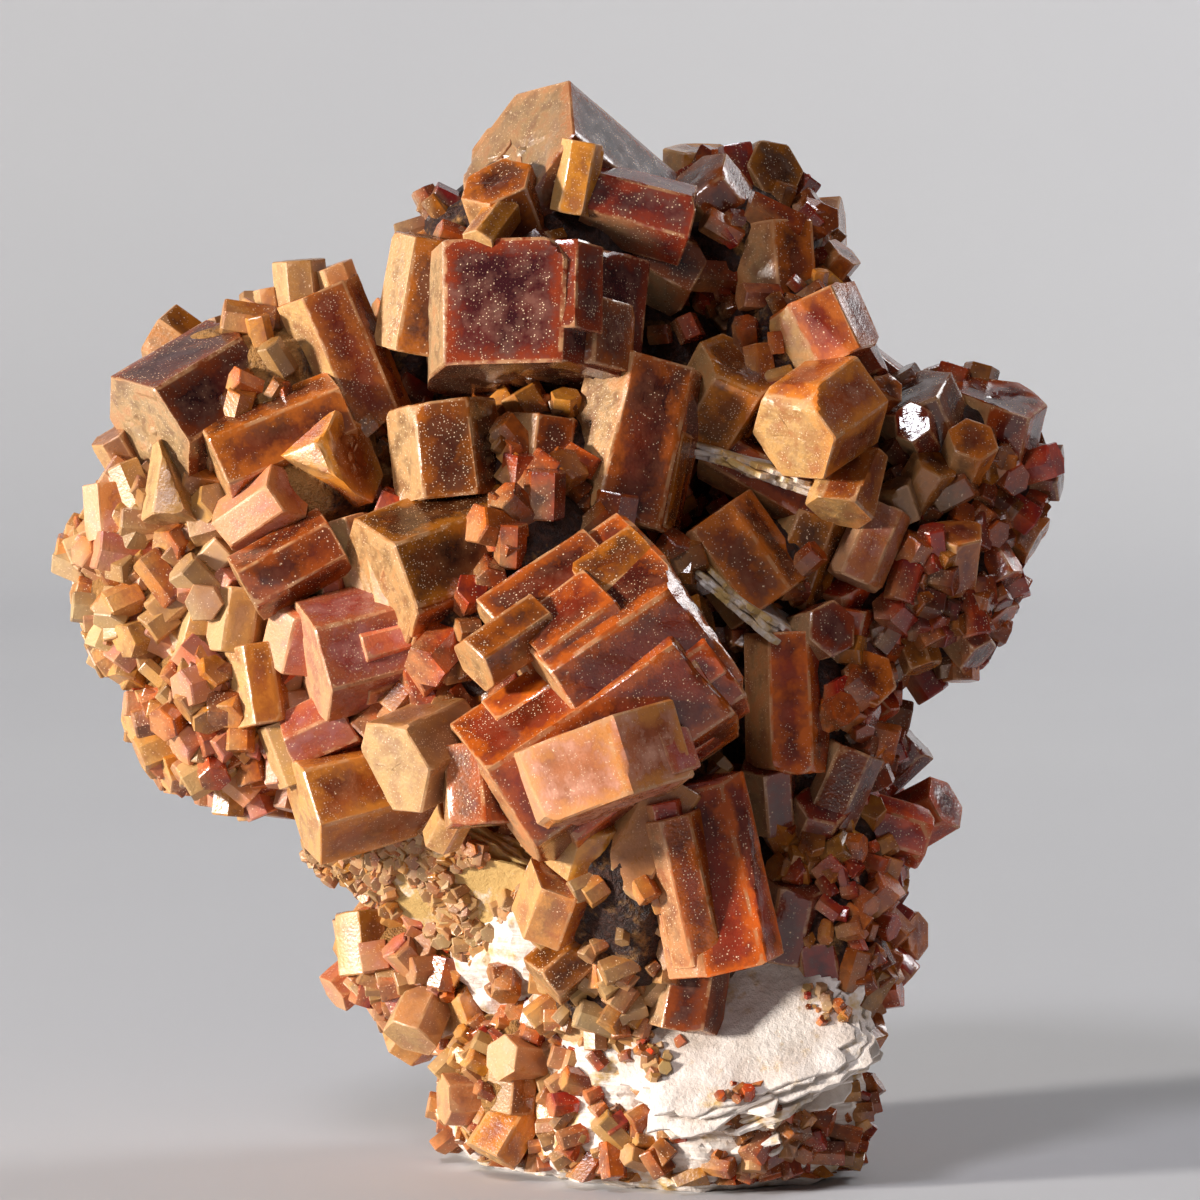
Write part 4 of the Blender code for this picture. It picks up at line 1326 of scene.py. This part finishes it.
@dataclass(frozen=True)
class Effects:
    """The node groups, each built once."""

    zones: bpy.types.NodeTree
    painted_glints: bpy.types.NodeTree
    painted_lit_skin: bpy.types.NodeTree
    edge_paint: bpy.types.NodeTree
    grain: bpy.types.NodeTree
    layers: bpy.types.NodeTree


def build_effects() -> Effects:
    """Builds every node group."""
    return Effects(growth_zones(), painted_glints(), painted_lit_skin(), painted_edges_and_glow(), face_grain(), rock_layers())


Colour = tuple[float, float, float, float]


def new_material(name: str) -> tuple[bpy.types.Material, Graph, bpy.types.Node]:
    """An empty material, its graph and its Principled shader.

    Args:
        name: the material's name.

    Returns:
        The material, a way of adding nodes to it, and the shader.
    """
    material = bpy.data.materials.new(name)
    material.use_nodes = True
    shader = material.node_tree.nodes["Principled BSDF"]
    return material, Graph(material.node_tree), shader


# pale colour of the edges: wear, and a painted highlight along them
EDGE_COLOUR = (0.62, 0.33, 0.15, 1)
# colour of the painted glints
GLINT_COLOUR = (1.0, 0.74, 0.48, 1)
HUES = (0.482, 0.512)  # 0.5 leaves a crystal's hue as it is
BRIGHTNESSES = (0.66, 1.3)
HUE_TURNS = 13.7  # makes a crystal's hue unlike its brightness
# how strongly faces towards the key light are painted pale: painted light
LIT_PALE_STRENGTH = 0.95
# how strongly edges are painted pale: wear, and a painted highlight
EDGE_WEAR_AND_HIGHLIGHT = 0.6
PIT_DEPTH = 0.00006  # m
CRYSTAL_IOR = 1.7


@dataclass(frozen=True)
class CrystalFinish:
    """The finish of crystals of one tone."""

    name: str
    body: Colour
    deep: Colour
    painted_glow: Colour
    # colour of the painted glow, standing in for light coming through
    bloom: Colour
    # pale colour painted on faces towards the key light: painted light
    lit_pale: Colour
    roughness: float = 0.2
    painted_glints: float = 0.8
    blooming: float = 0.35
    painted_glow_amount: float = 0.7

    def colour(self, graph: Graph, masks: dict[str, bpy.types.NodeSocket]) -> bpy.types.NodeSocket:
        """The colour over all of a crystal's depths, with painted light: glow near edges, pale lit
        faces, highlit edges and glints.

        Args:
            graph: the material's graph.
            masks: where each one shows.

        Returns:
            The colour.
        """
        colour = graph.mix(masks["clouds"], self.deep, self.body)
        hazy = graph.math("MULTIPLY", graph.spread(masks["haze"], 0.44, 0.68), self.blooming)
        colour = graph.mix(hazy, colour, self.bloom)
        # Painted glow near the edges, standing in for light coming through the crystal.
        colour = graph.mix(graph.math("MULTIPLY", masks["painted_glow"], self.painted_glow_amount), colour, self.painted_glow)
        shade = graph.layer("shade")
        scattered = graph.math("FRACT", graph.math("MULTIPLY", shade, HUE_TURNS))
        hue = graph.spread(scattered, 0, 1, *HUES)
        tint = {"Hue": hue, "Value": graph.spread(shade, 0, 1, *BRIGHTNESSES), "Color": colour}
        colour = graph.add("ShaderNodeHueSaturation", tint).outputs[0]
        # Painted light: faces towards the key light get a pale colour, tinted with the painted glow
        # where the haze is thin.
        lit_pale = graph.mix(graph.spread(masks["haze"], 0.36, 0.5, 0.35, 0), self.lit_pale, self.painted_glow)
        colour = graph.mix(masks["lit_paleness_and_stain"], colour, lit_pale)
        # Edges painted pale: wear, and a painted highlight along them.
        colour = graph.mix(masks["worn"], colour, EDGE_COLOUR)
        # Painted glints: bright points standing in for pits that catch the light.
        return graph.mix(masks["glint"], colour, GLINT_COLOUR)

    def material(self, effects: Effects) -> bpy.types.Material:
        """Builds the material.

        Args:
            effects: the shared node groups.

        Returns:
            The new material.
        """
        material, graph, shader = new_material(self.name)
        place = graph.layer("place", place=True)
        zones = graph.use(effects.zones, {"Place": place})
        haze = zones["Haze"]
        # Painted light: the mask of faces painted pale as lit; it also makes them rougher and more
        # pitted.
        cover = {"Haze": haze, "Lit paleness": graph.layer("lit_paleness_and_stain"), "Thickness": LIT_PALE_STRENGTH}
        lit_paleness_and_stain = graph.use(effects.painted_lit_skin, cover)[0]
        edge_paint = {"Haze": haze, "Rim": graph.layer("rim"), "Amount": EDGE_WEAR_AND_HIGHLIGHT}
        edges = graph.use(effects.edge_paint, edge_paint)
        glint = graph.use(effects.painted_glints, {"Place": place, "Haze": haze, "Amount": self.painted_glints})[0]
        masks = {"clouds": zones["Clouds"], "haze": haze, "lit_paleness_and_stain": lit_paleness_and_stain, "glint": glint}
        masks |= {"worn": edges["Worn and highlit"], "painted_glow": edges["Painted glow"]}
        graph.feed(self.colour(graph, masks), shader.inputs["Base Color"])
        rough = graph.spread(haze, 0.35, 0.65, self.roughness - 0.05, self.roughness + 0.1)
        rough = graph.math("ADD", rough, graph.math("MULTIPLY", lit_paleness_and_stain, 0.36))
        graph.feed(rough, shader.inputs["Roughness"])
        pits = graph.spread(lit_paleness_and_stain, 0, 1, 0.3, 0.9)
        height = graph.use(effects.grain, {"Place": place, "Pits": pits})[0]
        relief = {"Height": height, "Strength": 0.5, "Distance": PIT_DEPTH}
        graph.feed(graph.add("ShaderNodeBump", relief).outputs[0], shader.inputs["Normal"])
        shader.inputs["IOR"].default_value = CRYSTAL_IOR
        return material


# Body, deep, painted glow, bloom and painted lit pale colour of each tone, in linear light.
FINISHES = {
    PLUM: CrystalFinish(
        "plum crystal", (0.095, 0.018, 0.014, 1), (0.040, 0.008, 0.009, 1), (0.36, 0.06, 0.012, 1),
        (0.30, 0.13, 0.08, 1), (0.46, 0.30, 0.14, 1), roughness=0.11, painted_glints=0.9, blooming=0.45,
        painted_glow_amount=0.6,
    ),
    BROWN: CrystalFinish(
        "brown crystal", (0.155, 0.027, 0.007, 1), (0.050, 0.010, 0.004, 1), (0.52, 0.13, 0.012, 1),
        (0.26, 0.09, 0.033, 1), (0.48, 0.28, 0.11, 1), roughness=0.15, painted_glints=1.0, blooming=0.4,
    ),
    ORANGE: CrystalFinish(
        "orange crystal", (0.32, 0.070, 0.010, 1), (0.14, 0.024, 0.005, 1), (0.70, 0.25, 0.030, 1),
        (0.50, 0.20, 0.07, 1), (0.52, 0.31, 0.11, 1), roughness=0.18, painted_glints=0.8,
    ),
    RED: CrystalFinish(
        "red crystal", (0.24, 0.022, 0.008, 1), (0.085, 0.009, 0.004, 1), (0.62, 0.11, 0.010, 1),
        (0.32, 0.07, 0.03, 1), (0.47, 0.24, 0.09, 1), roughness=0.14, painted_glints=1.0,
    ),
    TAN: CrystalFinish(
        "tan crystal", (0.36, 0.155, 0.045, 1), (0.20, 0.068, 0.018, 1), (0.56, 0.26, 0.07, 1),
        (0.44, 0.22, 0.11, 1), (0.47, 0.29, 0.115, 1), roughness=0.30, painted_glints=0.7, painted_glow_amount=0.6,
    ),
    CREAM: CrystalFinish(
        "cream crystal", (0.46, 0.26, 0.10, 1), (0.30, 0.14, 0.045, 1), (0.60, 0.34, 0.11, 1),
        (0.52, 0.33, 0.19, 1), (0.50, 0.34, 0.16, 1), roughness=0.34, painted_glints=0.6, painted_glow_amount=0.5,
    ),
    # Its pinkness is a painted reflection of the pale sky, over a red-orange crystal.
    PINK_REFLECTION: CrystalFinish(
        "pink crystal with painted reflection", (0.44, 0.105, 0.055, 1), (0.25, 0.042, 0.020, 1), (0.62, 0.20, 0.055, 1),
        (0.60, 0.26, 0.19, 1), (0.54, 0.31, 0.15, 1), roughness=0.26, painted_glints=0.8, blooming=0.7,
    ),
}


@dataclass(frozen=True)
class RockFinish:
    """The finish of the ground: layered, with stains."""

    name: str
    light: Colour
    dark: Colour
    stain: Colour
    roughness: float
    depth: float  # m, of the finest relief
    pattern: str  # the output of the layers' effect that parts light from dark
    relief: str  # the one that gives the relief

    def material(self, effects: Effects) -> bpy.types.Material:
        """Builds the material.

        Args:
            effects: the shared node groups.

        Returns:
            The new material.
        """
        material, graph, shader = new_material(self.name)
        layers = graph.use(effects.layers, {"Place": graph.layer("place", place=True)})
        colour = graph.mix(layers[self.pattern], self.dark, self.light)
        # On rock this attribute holds only the stain.
        reach = graph.spread(graph.layer("lit_paleness_and_stain"), 0, 1, -0.16, 0.2)
        stain = graph.spread(graph.math("ADD", layers["Stain"], reach), 0.46, 0.6)
        graph.feed(graph.mix(stain, colour, self.stain), shader.inputs["Base Color"])
        rough = graph.spread(layers["Stain"], 0.3, 0.7, self.roughness - 0.1, self.roughness + 0.1)
        graph.feed(rough, shader.inputs["Roughness"])
        relief = {"Height": layers[self.relief], "Strength": 0.8, "Distance": self.depth}
        graph.feed(graph.add("ShaderNodeBump", relief).outputs[0], shader.inputs["Normal"])
        return material


BARYTE = RockFinish(
    "baryte", (0.90, 0.81, 0.74, 1), (0.68, 0.57, 0.49, 1), (0.60, 0.38, 0.13, 1),
    roughness=0.5, depth=0.0001, pattern="Lines", relief="Height",
)
# Brown crust with ochre stains, darkened to paint the shade in the gaps between crystals.
CRUST_AND_GAP_SHADE = RockFinish(
    "ochre crust and painted gap shade", (0.07, 0.020, 0.008, 1), (0.016, 0.005, 0.004, 1), (0.40, 0.19, 0.05, 1),
    roughness=0.5, depth=0.0002, pattern="Grit", relief="Grit",
)

ROCK_INDEX = len(Tone)
CRUST_SHADE_INDEX = ROCK_INDEX + 1


def build_materials() -> Materials:
    """The materials in the order that the tones index, and then those of the ground.

    Returns:
        The materials.
    """
    effects = build_effects()
    finishes = [FINISHES[tone] for tone in Tone] + [BARYTE, CRUST_AND_GAP_SHADE]
    return [finish.material(effects) for finish in finishes]


def tiny_crystals(group: str, druse: Druse, company: Company) -> Iterator[Prism]:
    """The small crystals of one carpet.

    Args:
        group: the node whose lump they grow on.
        druse: the carpet.
        company: everything that they must not be inside of.

    Yields:
        Each crystal.
    """
    rng = random.Random(druse.seed)
    lump = LUMPS[group][druse.lump]
    for direction in spread_directions(druse.count, rng):
        width = druse.least + (druse.most - druse.least) * rng.random() ** FEW_WIDE
        length = width * rng.uniform(*DRUSE_LENGTHS)
        tilt = DRUSE_TILT * Vector(rng.gauss(0, 1) for _ in range(3))
        roll, tone = rng.uniform(*ROLLS), rng.choice(druse.tones)
        base = lump.surface(direction)
        if druse.misses(direction) or company.takes(base, lump, DRUSE_MARGIN):
            continue
        axis = direction + tilt
        axis = (axis - LYING * axis.dot(TOWARD) * TOWARD).normalized()
        centre = base + RAISED * width * direction
        yield Prism(centre, axis, across_axis(axis, roll), width, length, tone)


def crust_crystals(crust: Crust) -> Iterator[Prism]:
    """The fine crystals in patches on one tablet.

    Args:
        crust: the patches.

    Yields:
        Each crystal.
    """
    rng = random.Random(crust.seed)
    blade = BLADES[crust.blade]
    turn = Matrix(blade.turn())
    for _ in range(crust.count):
        along, over = rng.uniform(-0.5, 0.5), rng.uniform(-0.5, 0.5)
        flat = Vector((along * blade.long, over * blade.wide, 0))
        width = rng.uniform(crust.least, crust.most)
        tilt = DRUSE_TILT * Vector(rng.gauss(0, 1) for _ in range(3))
        roll, tone = rng.uniform(*ROLLS), rng.choice(crust.tones)
        if noise.noise(flat * PATCHES + Vector((crust.seed, 0, 0))) < crust.thin:
            continue
        normal = turn.col[2]
        place = seen(blade.across, blade.up, blade.near) + turn @ flat + blade.thick / 2 * normal
        axis = (normal + tilt).normalized()
        side, length = across_axis(axis, roll), width * CRUST_LENGTH
        yield Prism(place, axis, side, width, length, tone)


@dataclass
class Mass:
    """One of the solids, remade as one piece, and as another one for the druse on it."""

    node: str
    label: str
    slot: str

    def druse(self, company: Company, rng: np.random.Generator) -> Pile:
        """Grows the druse.

        Args:
            company: every crystal and lump.
            rng: where the random numbers come from.

        Returns:
            Its small crystals.
        """
        carpet = Pile()
        for druse in DRUSES[self.node]:
            for prism in tiny_crystals(self.node, druse, company):
                add_tiny(carpet, prism, rng)
        return carpet

    def pieces(
        self, pile: Pile, carpet: Pile, materials: Materials, lowest: float, sharp: float
    ) -> Pieces:
        """Makes both pieces and ties them to the specimen's body in the solid's place.

        Args:
            pile: the first one's shapes.
            carpet: the druse.
            materials: in the order that the tones index.
            lowest: nothing of the first one reaches lower than this height in mm.
            sharp: degrees from which its edges stay sharp.

        Returns:
            The two pieces.
        """
        pieces = [
            pile.piece(self.label, materials, lowest, sharp),
            carpet.piece(f"{self.label}_druse", materials, CLEAR_OF_GROUND, SHARP_CRYSTAL),
        ]
        for piece in pieces:
            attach(piece, BODY)
            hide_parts(self.node)
        return pieces


@dataclass
class CrystalMass(Mass):
    """One mass of crystals that grew together: its crystals, their ground and their druse."""

    stain: float  # how yellow its ground is, 0 to 1
    palette: tuple[Tone, ...]
    seed: int
    finer: int = 5  # how finely its ground is made
    grain: float = 0.15  # mm, height of the knobs of its ground
    rows: list[tuple] = field(default_factory=list)
    shown: list[Prism] = field(default_factory=list)
    hidden: list[Prism] = field(default_factory=list)

    def place(self) -> None:
        """Works out every larger crystal."""
        for across, up, near, heading, lean, roll, width, length, tone in self.rows:
            axis = seen_direction(heading, lean)
            centre = seen(across, up, near)
            self.shown.append(Prism(centre, axis, across_axis(axis, roll), width, length, tone))
        for sprouts in SPROUTS.get(self.node, []):
            self.hidden += list(self.sprouting(sprouts))

    def sprouting(self, sprouts: Sprouts) -> Iterator[Prism]:
        """The crystals that cover one lump, none of them from inside another lump.

        Args:
            sprouts: which lump they cover, on which side.

        Yields:
            Each crystal.
        """
        rng = random.Random(sprouts.seed)
        colours = random.Random(sprouts.seed + COLOUR_SEEDS)
        lump = LUMPS[self.node][sprouts.lump]
        others = [other for lumps in LUMPS.values() for other in lumps if other is not lump]
        for direction in spread_directions(2 * sprouts.count, rng):
            width = rng.uniform(sprouts.least, sprouts.most)
            length = width * rng.uniform(*SPROUT_LENGTHS)
            tilt = SPROUT_TILT * Vector(rng.gauss(0, 1) for _ in range(3))
            roll, tone = rng.uniform(*ROLLS), colours.choice(self.palette)
            base = lump.surface(direction)
            if sprouts.misses(direction) or any(other.holds(base) for other in others):
                continue
            axis = (direction + tilt).normalized()
            centre = base + (STANDING - 0.5) * length * axis
            yield Prism(centre, axis, across_axis(axis, roll), width, length, tone)

    def build(self, company: Company, materials: Materials) -> Pieces:
        """Makes the crystals with their ground, and the druse.

        Args:
            company: every crystal and lump.
            materials: in the order that the tones index.

        Returns:
            The two pieces.
        """
        pile = Pile()
        for lump in LUMPS[self.node]:
            # The ground between the crystals gets the dark crust, partly painted shade.
            add_lump(pile, lump, self.finer, self.grain, self.stain, CRUST_SHADE_INDEX)
        for k, prism in enumerate(self.shown + self.hidden):
            shown, seed = k < len(self.shown), self.seed * 1000 + k
            CrystalGrowth(prism, habit_of(prism, shown), seed).grow(pile)
            if prism.width >= TWINNED_WIDTH:
                for j, smaller in enumerate(grown_along(prism, seed)):
                    CrystalGrowth(smaller, habit_of(smaller, shown), seed * 10 + j).grow(pile)
        carpet = self.druse(company, np.random.default_rng(self.seed))
        return self.pieces(pile, carpet, materials, CLEAR_OF_GROUND, SHARP_CRYSTAL)


@dataclass
class BaryteMatrix(Mass):
    """The white layered rock under all the crystals, cut off flat at its foot."""

    node: str = "matrix"
    label: str = "baryte"
    slot: str = "baryte"
    bare: tuple = (6, 0.3, 0.3, ROCK_INDEX)  # how fine, mm of grain, stain and material
    crusted: tuple = (5, 0.12, 0.2, CRUST_SHADE_INDEX)  # the same where the dark crust, partly painted shade, covers the rock
    layer: float = 0.2  # mm from one layer of a tablet to the next
    around: int = 96  # points round a layer
    corner: float = 1.22  # how far the corners of a layer reach, of its half width
    unlike: float = 0.05  # how unlike in size the layers are
    ragged: float = 0.035  # height of the steps in a layer's outline
    frayed: float = 0.03  # how far single points of the outline are drawn in
    worn: float = 0.03  # mm, worn off the edges of a layer
    flat: float = 0.985  # how far the flat side of a layer reaches, of its outline
    rings: tuple[float, ...] = (0.85, 0.65, 0.45, 0.25)  # of points on its upper side
    warp: float = 0.07  # mm, how far a layer is from flat, and of its thickness, from straight
    seed: int = 90

    def add_blade(self, pile: Pile, blade: Blade, rng: np.random.Generator) -> None:
        """Adds one tablet as a pack of thin layers with broken edges.

        Args:
            pile: what it is added to.
            blade: its place and size.
            rng: where the random numbers come from.
        """
        turn = blade.turn()
        middle = np.array(seen(blade.across, blade.up, blade.near))
        layers = max(3, round(blade.thick / self.layer))
        bounds = np.linspace(-blade.thick / 2, blade.thick / 2, layers + 1)
        turns = np.linspace(0, 2 * math.pi, self.around, endpoint=False)
        circle = np.column_stack([np.cos(turns), np.sin(turns), np.zeros(self.around)])
        box = 1 / abs(circle).max(axis=1)
        halves = np.array((blade.long / 2, blade.wide / 2))
        for low, high in zip(bounds, bounds[1:]):
            reach = np.minimum(box, self.corner) * (1 + self.unlike * rng.standard_normal())
            outline = Waves(rng, 0.5, 9).at(3 * circle)
            reach *= 1 + self.ragged * np.round(outline * 1.5)
            reach -= self.frayed * abs(rng.standard_normal(self.around))
            edge = circle[:, :2] * reach[:, None] * halves
            edge += rng.normal(0, self.warp * blade.thick, 2)
            profile = [
                (0.3, low), (self.flat, low), (1.0, low + self.worn), (1.0, high - self.worn),
                *((scale, high) for scale in (self.flat, *self.rings)),
            ]
            rings = [
                np.column_stack([edge * scale, np.full(self.around, z)]) for scale, z in profile
            ]
            points = np.concatenate([*rings, [(*edge.mean(0), low), (*edge.mean(0), high)]])
            points[:, 2] += self.warp * Waves(rng, 1.6).at(points)
            quads, fans = ring_faces(len(profile), self.around)
            shade, turned = rng.uniform(0, 1), points @ turn.T + middle
            pile.add(turned, points, blade.stain, 1.0, shade, quads, fans, ROCK_INDEX)

    def build(self, company: Company, materials: Materials) -> Pieces:
        """Makes the rock and the druse on it.

        Args:
            company: every crystal and lump.
            materials: in the order that the tones index.

        Returns:
            The two pieces.
        """
        pile = Pile()
        rng = np.random.default_rng(self.seed)
        for k, lump in enumerate(LUMPS[self.node]):
            coat = self.bare if k < BARE_LUMPS else self.crusted
            add_lump(pile, lump, *coat)
        for blade in BLADES:
            self.add_blade(pile, blade, rng)
        carpet = self.druse(company, rng)
        for crust in CRUSTS:
            for prism in crust_crystals(crust):
                add_tiny(carpet, prism, rng)
        return self.pieces(pile, carpet, materials, 0.0, SHARP_ROCK)


@dataclass(frozen=True)
class Lamp:
    """One soft square light: its place, size and power, and the point that it shines on."""

    name: str
    place: tuple[float, float, float]
    size: float
    power: float
    colour: tuple[float, float, float] = (1.0, 1.0, 1.0)
    target: tuple[float, float, float] = (0.0, 0.0, 0.023)

    def add(self) -> None:
        """Makes the light."""
        data = bpy.data.lights.new(self.name, "AREA")
        data.size, data.energy, data.color = self.size, self.power, self.colour
        lamp = bpy.data.objects.new(self.name, data)
        lamp.location = self.place
        lamp.rotation_mode = "QUATERNION"
        away = Vector(self.place) - Vector(self.target)
        lamp.rotation_quaternion = away.to_track_quat("Z", "Y")
        bpy.context.scene.collection.objects.link(lamp)


@dataclass
class Studio:
    """The pale floor that curves up into a backdrop, the lights and the camera."""

    width: float = 1.6
    front: float = -0.6
    back: float = 0.45
    bend: float = 0.2
    bend_steps: int = 16
    height: float = 0.9
    lens: float = 225.0
    sensor: float = 36.0
    paints: tuple[Colour, Colour] = ((0.56, 0.56, 0.58, 1), (0.60, 0.60, 0.61, 1))
    room: Colour = (0.80, 0.82, 0.86, 1)
    room_power: float = 0.035
    lamps: tuple[Lamp, ...] = (
        Lamp("key light", (-0.45, -0.20, 0.09), 0.06, 4.6, (1.0, 0.96, 0.90)),
        Lamp("window light", (-0.20, -0.30, 0.40), 0.10, 0.9, (0.94, 0.93, 1.0)),
        Lamp("fill light", (0.10, -0.60, 0.30), 0.50, 0.06, (0.94, 0.96, 1.0)),
        Lamp("rim light", (0.34, 0.22, 0.30), 0.22, 0.4, (0.95, 0.97, 1.0)),
        Lamp("backdrop light", (0.32, 0.24, 0.30), 0.20, 0.8, target=(-0.02, 0.45, 0.08)),
    )

    def add_floor(self) -> None:
        """Makes the floor and backdrop as one curved sheet."""
        bm = bmesh.new()
        start = self.back - self.bend
        profile = [(self.front, 0.0), (start, 0.0)]
        for k in range(1, self.bend_steps + 1):
            turn = math.radians(90 * k / self.bend_steps)
            rise = self.bend * (1 - math.cos(turn))
            profile.append((start + self.bend * math.sin(turn), rise))
        profile.append((self.back, self.height))
        sides = (-self.width / 2, self.width / 2)
        rows = [[bm.verts.new((x, y, z)) for y, z in profile] for x in sides]
        for a, b, c, d in zip(rows[0], rows[0][1:], rows[1][1:], rows[1]):
            bm.faces.new((a, d, c, b))
        mesh = bpy.data.meshes.new("floor")
        bm.to_mesh(mesh)
        bm.free()
        mesh.shade_smooth()
        material, graph, shader = new_material("floor paint")
        place = graph.add("ShaderNodeTexCoord").outputs["Object"]
        mottle = graph.spread(graph.noise(place, 9.0, 3), 0.3, 0.7)
        paint = graph.mix(mottle, *self.paints)
        graph.feed(paint, shader.inputs["Base Color"])
        shader.inputs["Roughness"].default_value = 0.7
        mesh.materials.append(material)
        floor = bpy.data.objects.new("floor", mesh)
        bpy.context.scene.collection.objects.link(floor)
        floor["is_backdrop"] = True

    def add_camera(self) -> None:
        """Makes the camera where the photograph was taken from."""
        data = bpy.data.cameras.new("camera")
        data.lens, data.sensor_width, data.clip_start = self.lens, self.sensor, 0.01
        camera = bpy.data.objects.new("camera", data)
        turn = Matrix((RIGHT, UPWARD, TOWARD)).transposed().to_4x4()
        place = (seen(*MIDDLE, 0.0) + EYE_DISTANCE * TOWARD) * MM
        camera.matrix_world = Matrix.Translation(place) @ turn
        bpy.context.scene.collection.objects.link(camera)
        bpy.context.scene.camera = camera

    def build(self) -> None:
        """Makes everything round the specimen."""
        self.add_floor()
        self.add_camera()
        for lamp in self.lamps:
            lamp.add()
        world = bpy.data.worlds.new("room light")
        world.use_nodes = True
        background = world.node_tree.nodes["Background"]
        background.inputs["Color"].default_value = self.room
        background.inputs["Strength"].default_value = self.room_power
        bpy.context.scene.world = world
        bpy.context.scene.view_settings.view_transform = "Standard"


MASSES = [
    CrystalMass("centre_crystals", "centre_cluster", "vanadinite_red", 0.2, (BROWN, RED), 1),
    CrystalMass("crown_crystals", "crown_cluster", "vanadinite_plum", 0.1, (PLUM, BROWN), 2),
    CrystalMass("left_crystals", "left_cluster", "vanadinite_tan", 0.8, (BROWN, ORANGE, TAN), 3),
    CrystalMass("arm_crystals", "arm_cluster", "vanadinite_plum", 0.1, (PLUM, BROWN, RED), 4),
    CrystalMass("ridge_crystals", "ridge_cluster", "vanadinite_orange", 0.2, (BROWN, ORANGE), 5),
    CrystalMass("right_crystals", "right_cluster", "vanadinite_red", 0.1, (RED, PLUM, BROWN), 6),
    CrystalMass("foot_crystals", "foot_cluster", "vanadinite_orange", 0.8, (ORANGE, TAN), 7),
    CrystalMass("back_crystals", "back_cluster", "vanadinite_brown", 0.3, (BROWN, RED, ORANGE), 8),
]


def main() -> None:
    """Builds the specimen and its surroundings, and reports each piece."""
    logging.basicConfig(level=logging.INFO, format="%(message)s")
    cad_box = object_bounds()
    materials = build_materials()
    for mass in MASSES:
        mass.rows = CRYSTALS.get(mass.node, [])
        mass.place()
    prisms = [prism for mass in MASSES for prism in mass.shown + mass.hidden]
    company = Company(prisms, [lump for lumps in LUMPS.values() for lump in lumps])
    for part in [BaryteMatrix(), *MASSES]:
        for piece in part.build(company, materials):
            LOG.info("%s: %d faces", piece.name, len(piece.data.polygons))
    Studio().build()
    sizes = {"cad": cad_box, "visual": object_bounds()}
    {name: [list(corner) for corner in box] for name, box in sizes.items()}


if __name__ == "__main__":
    main()
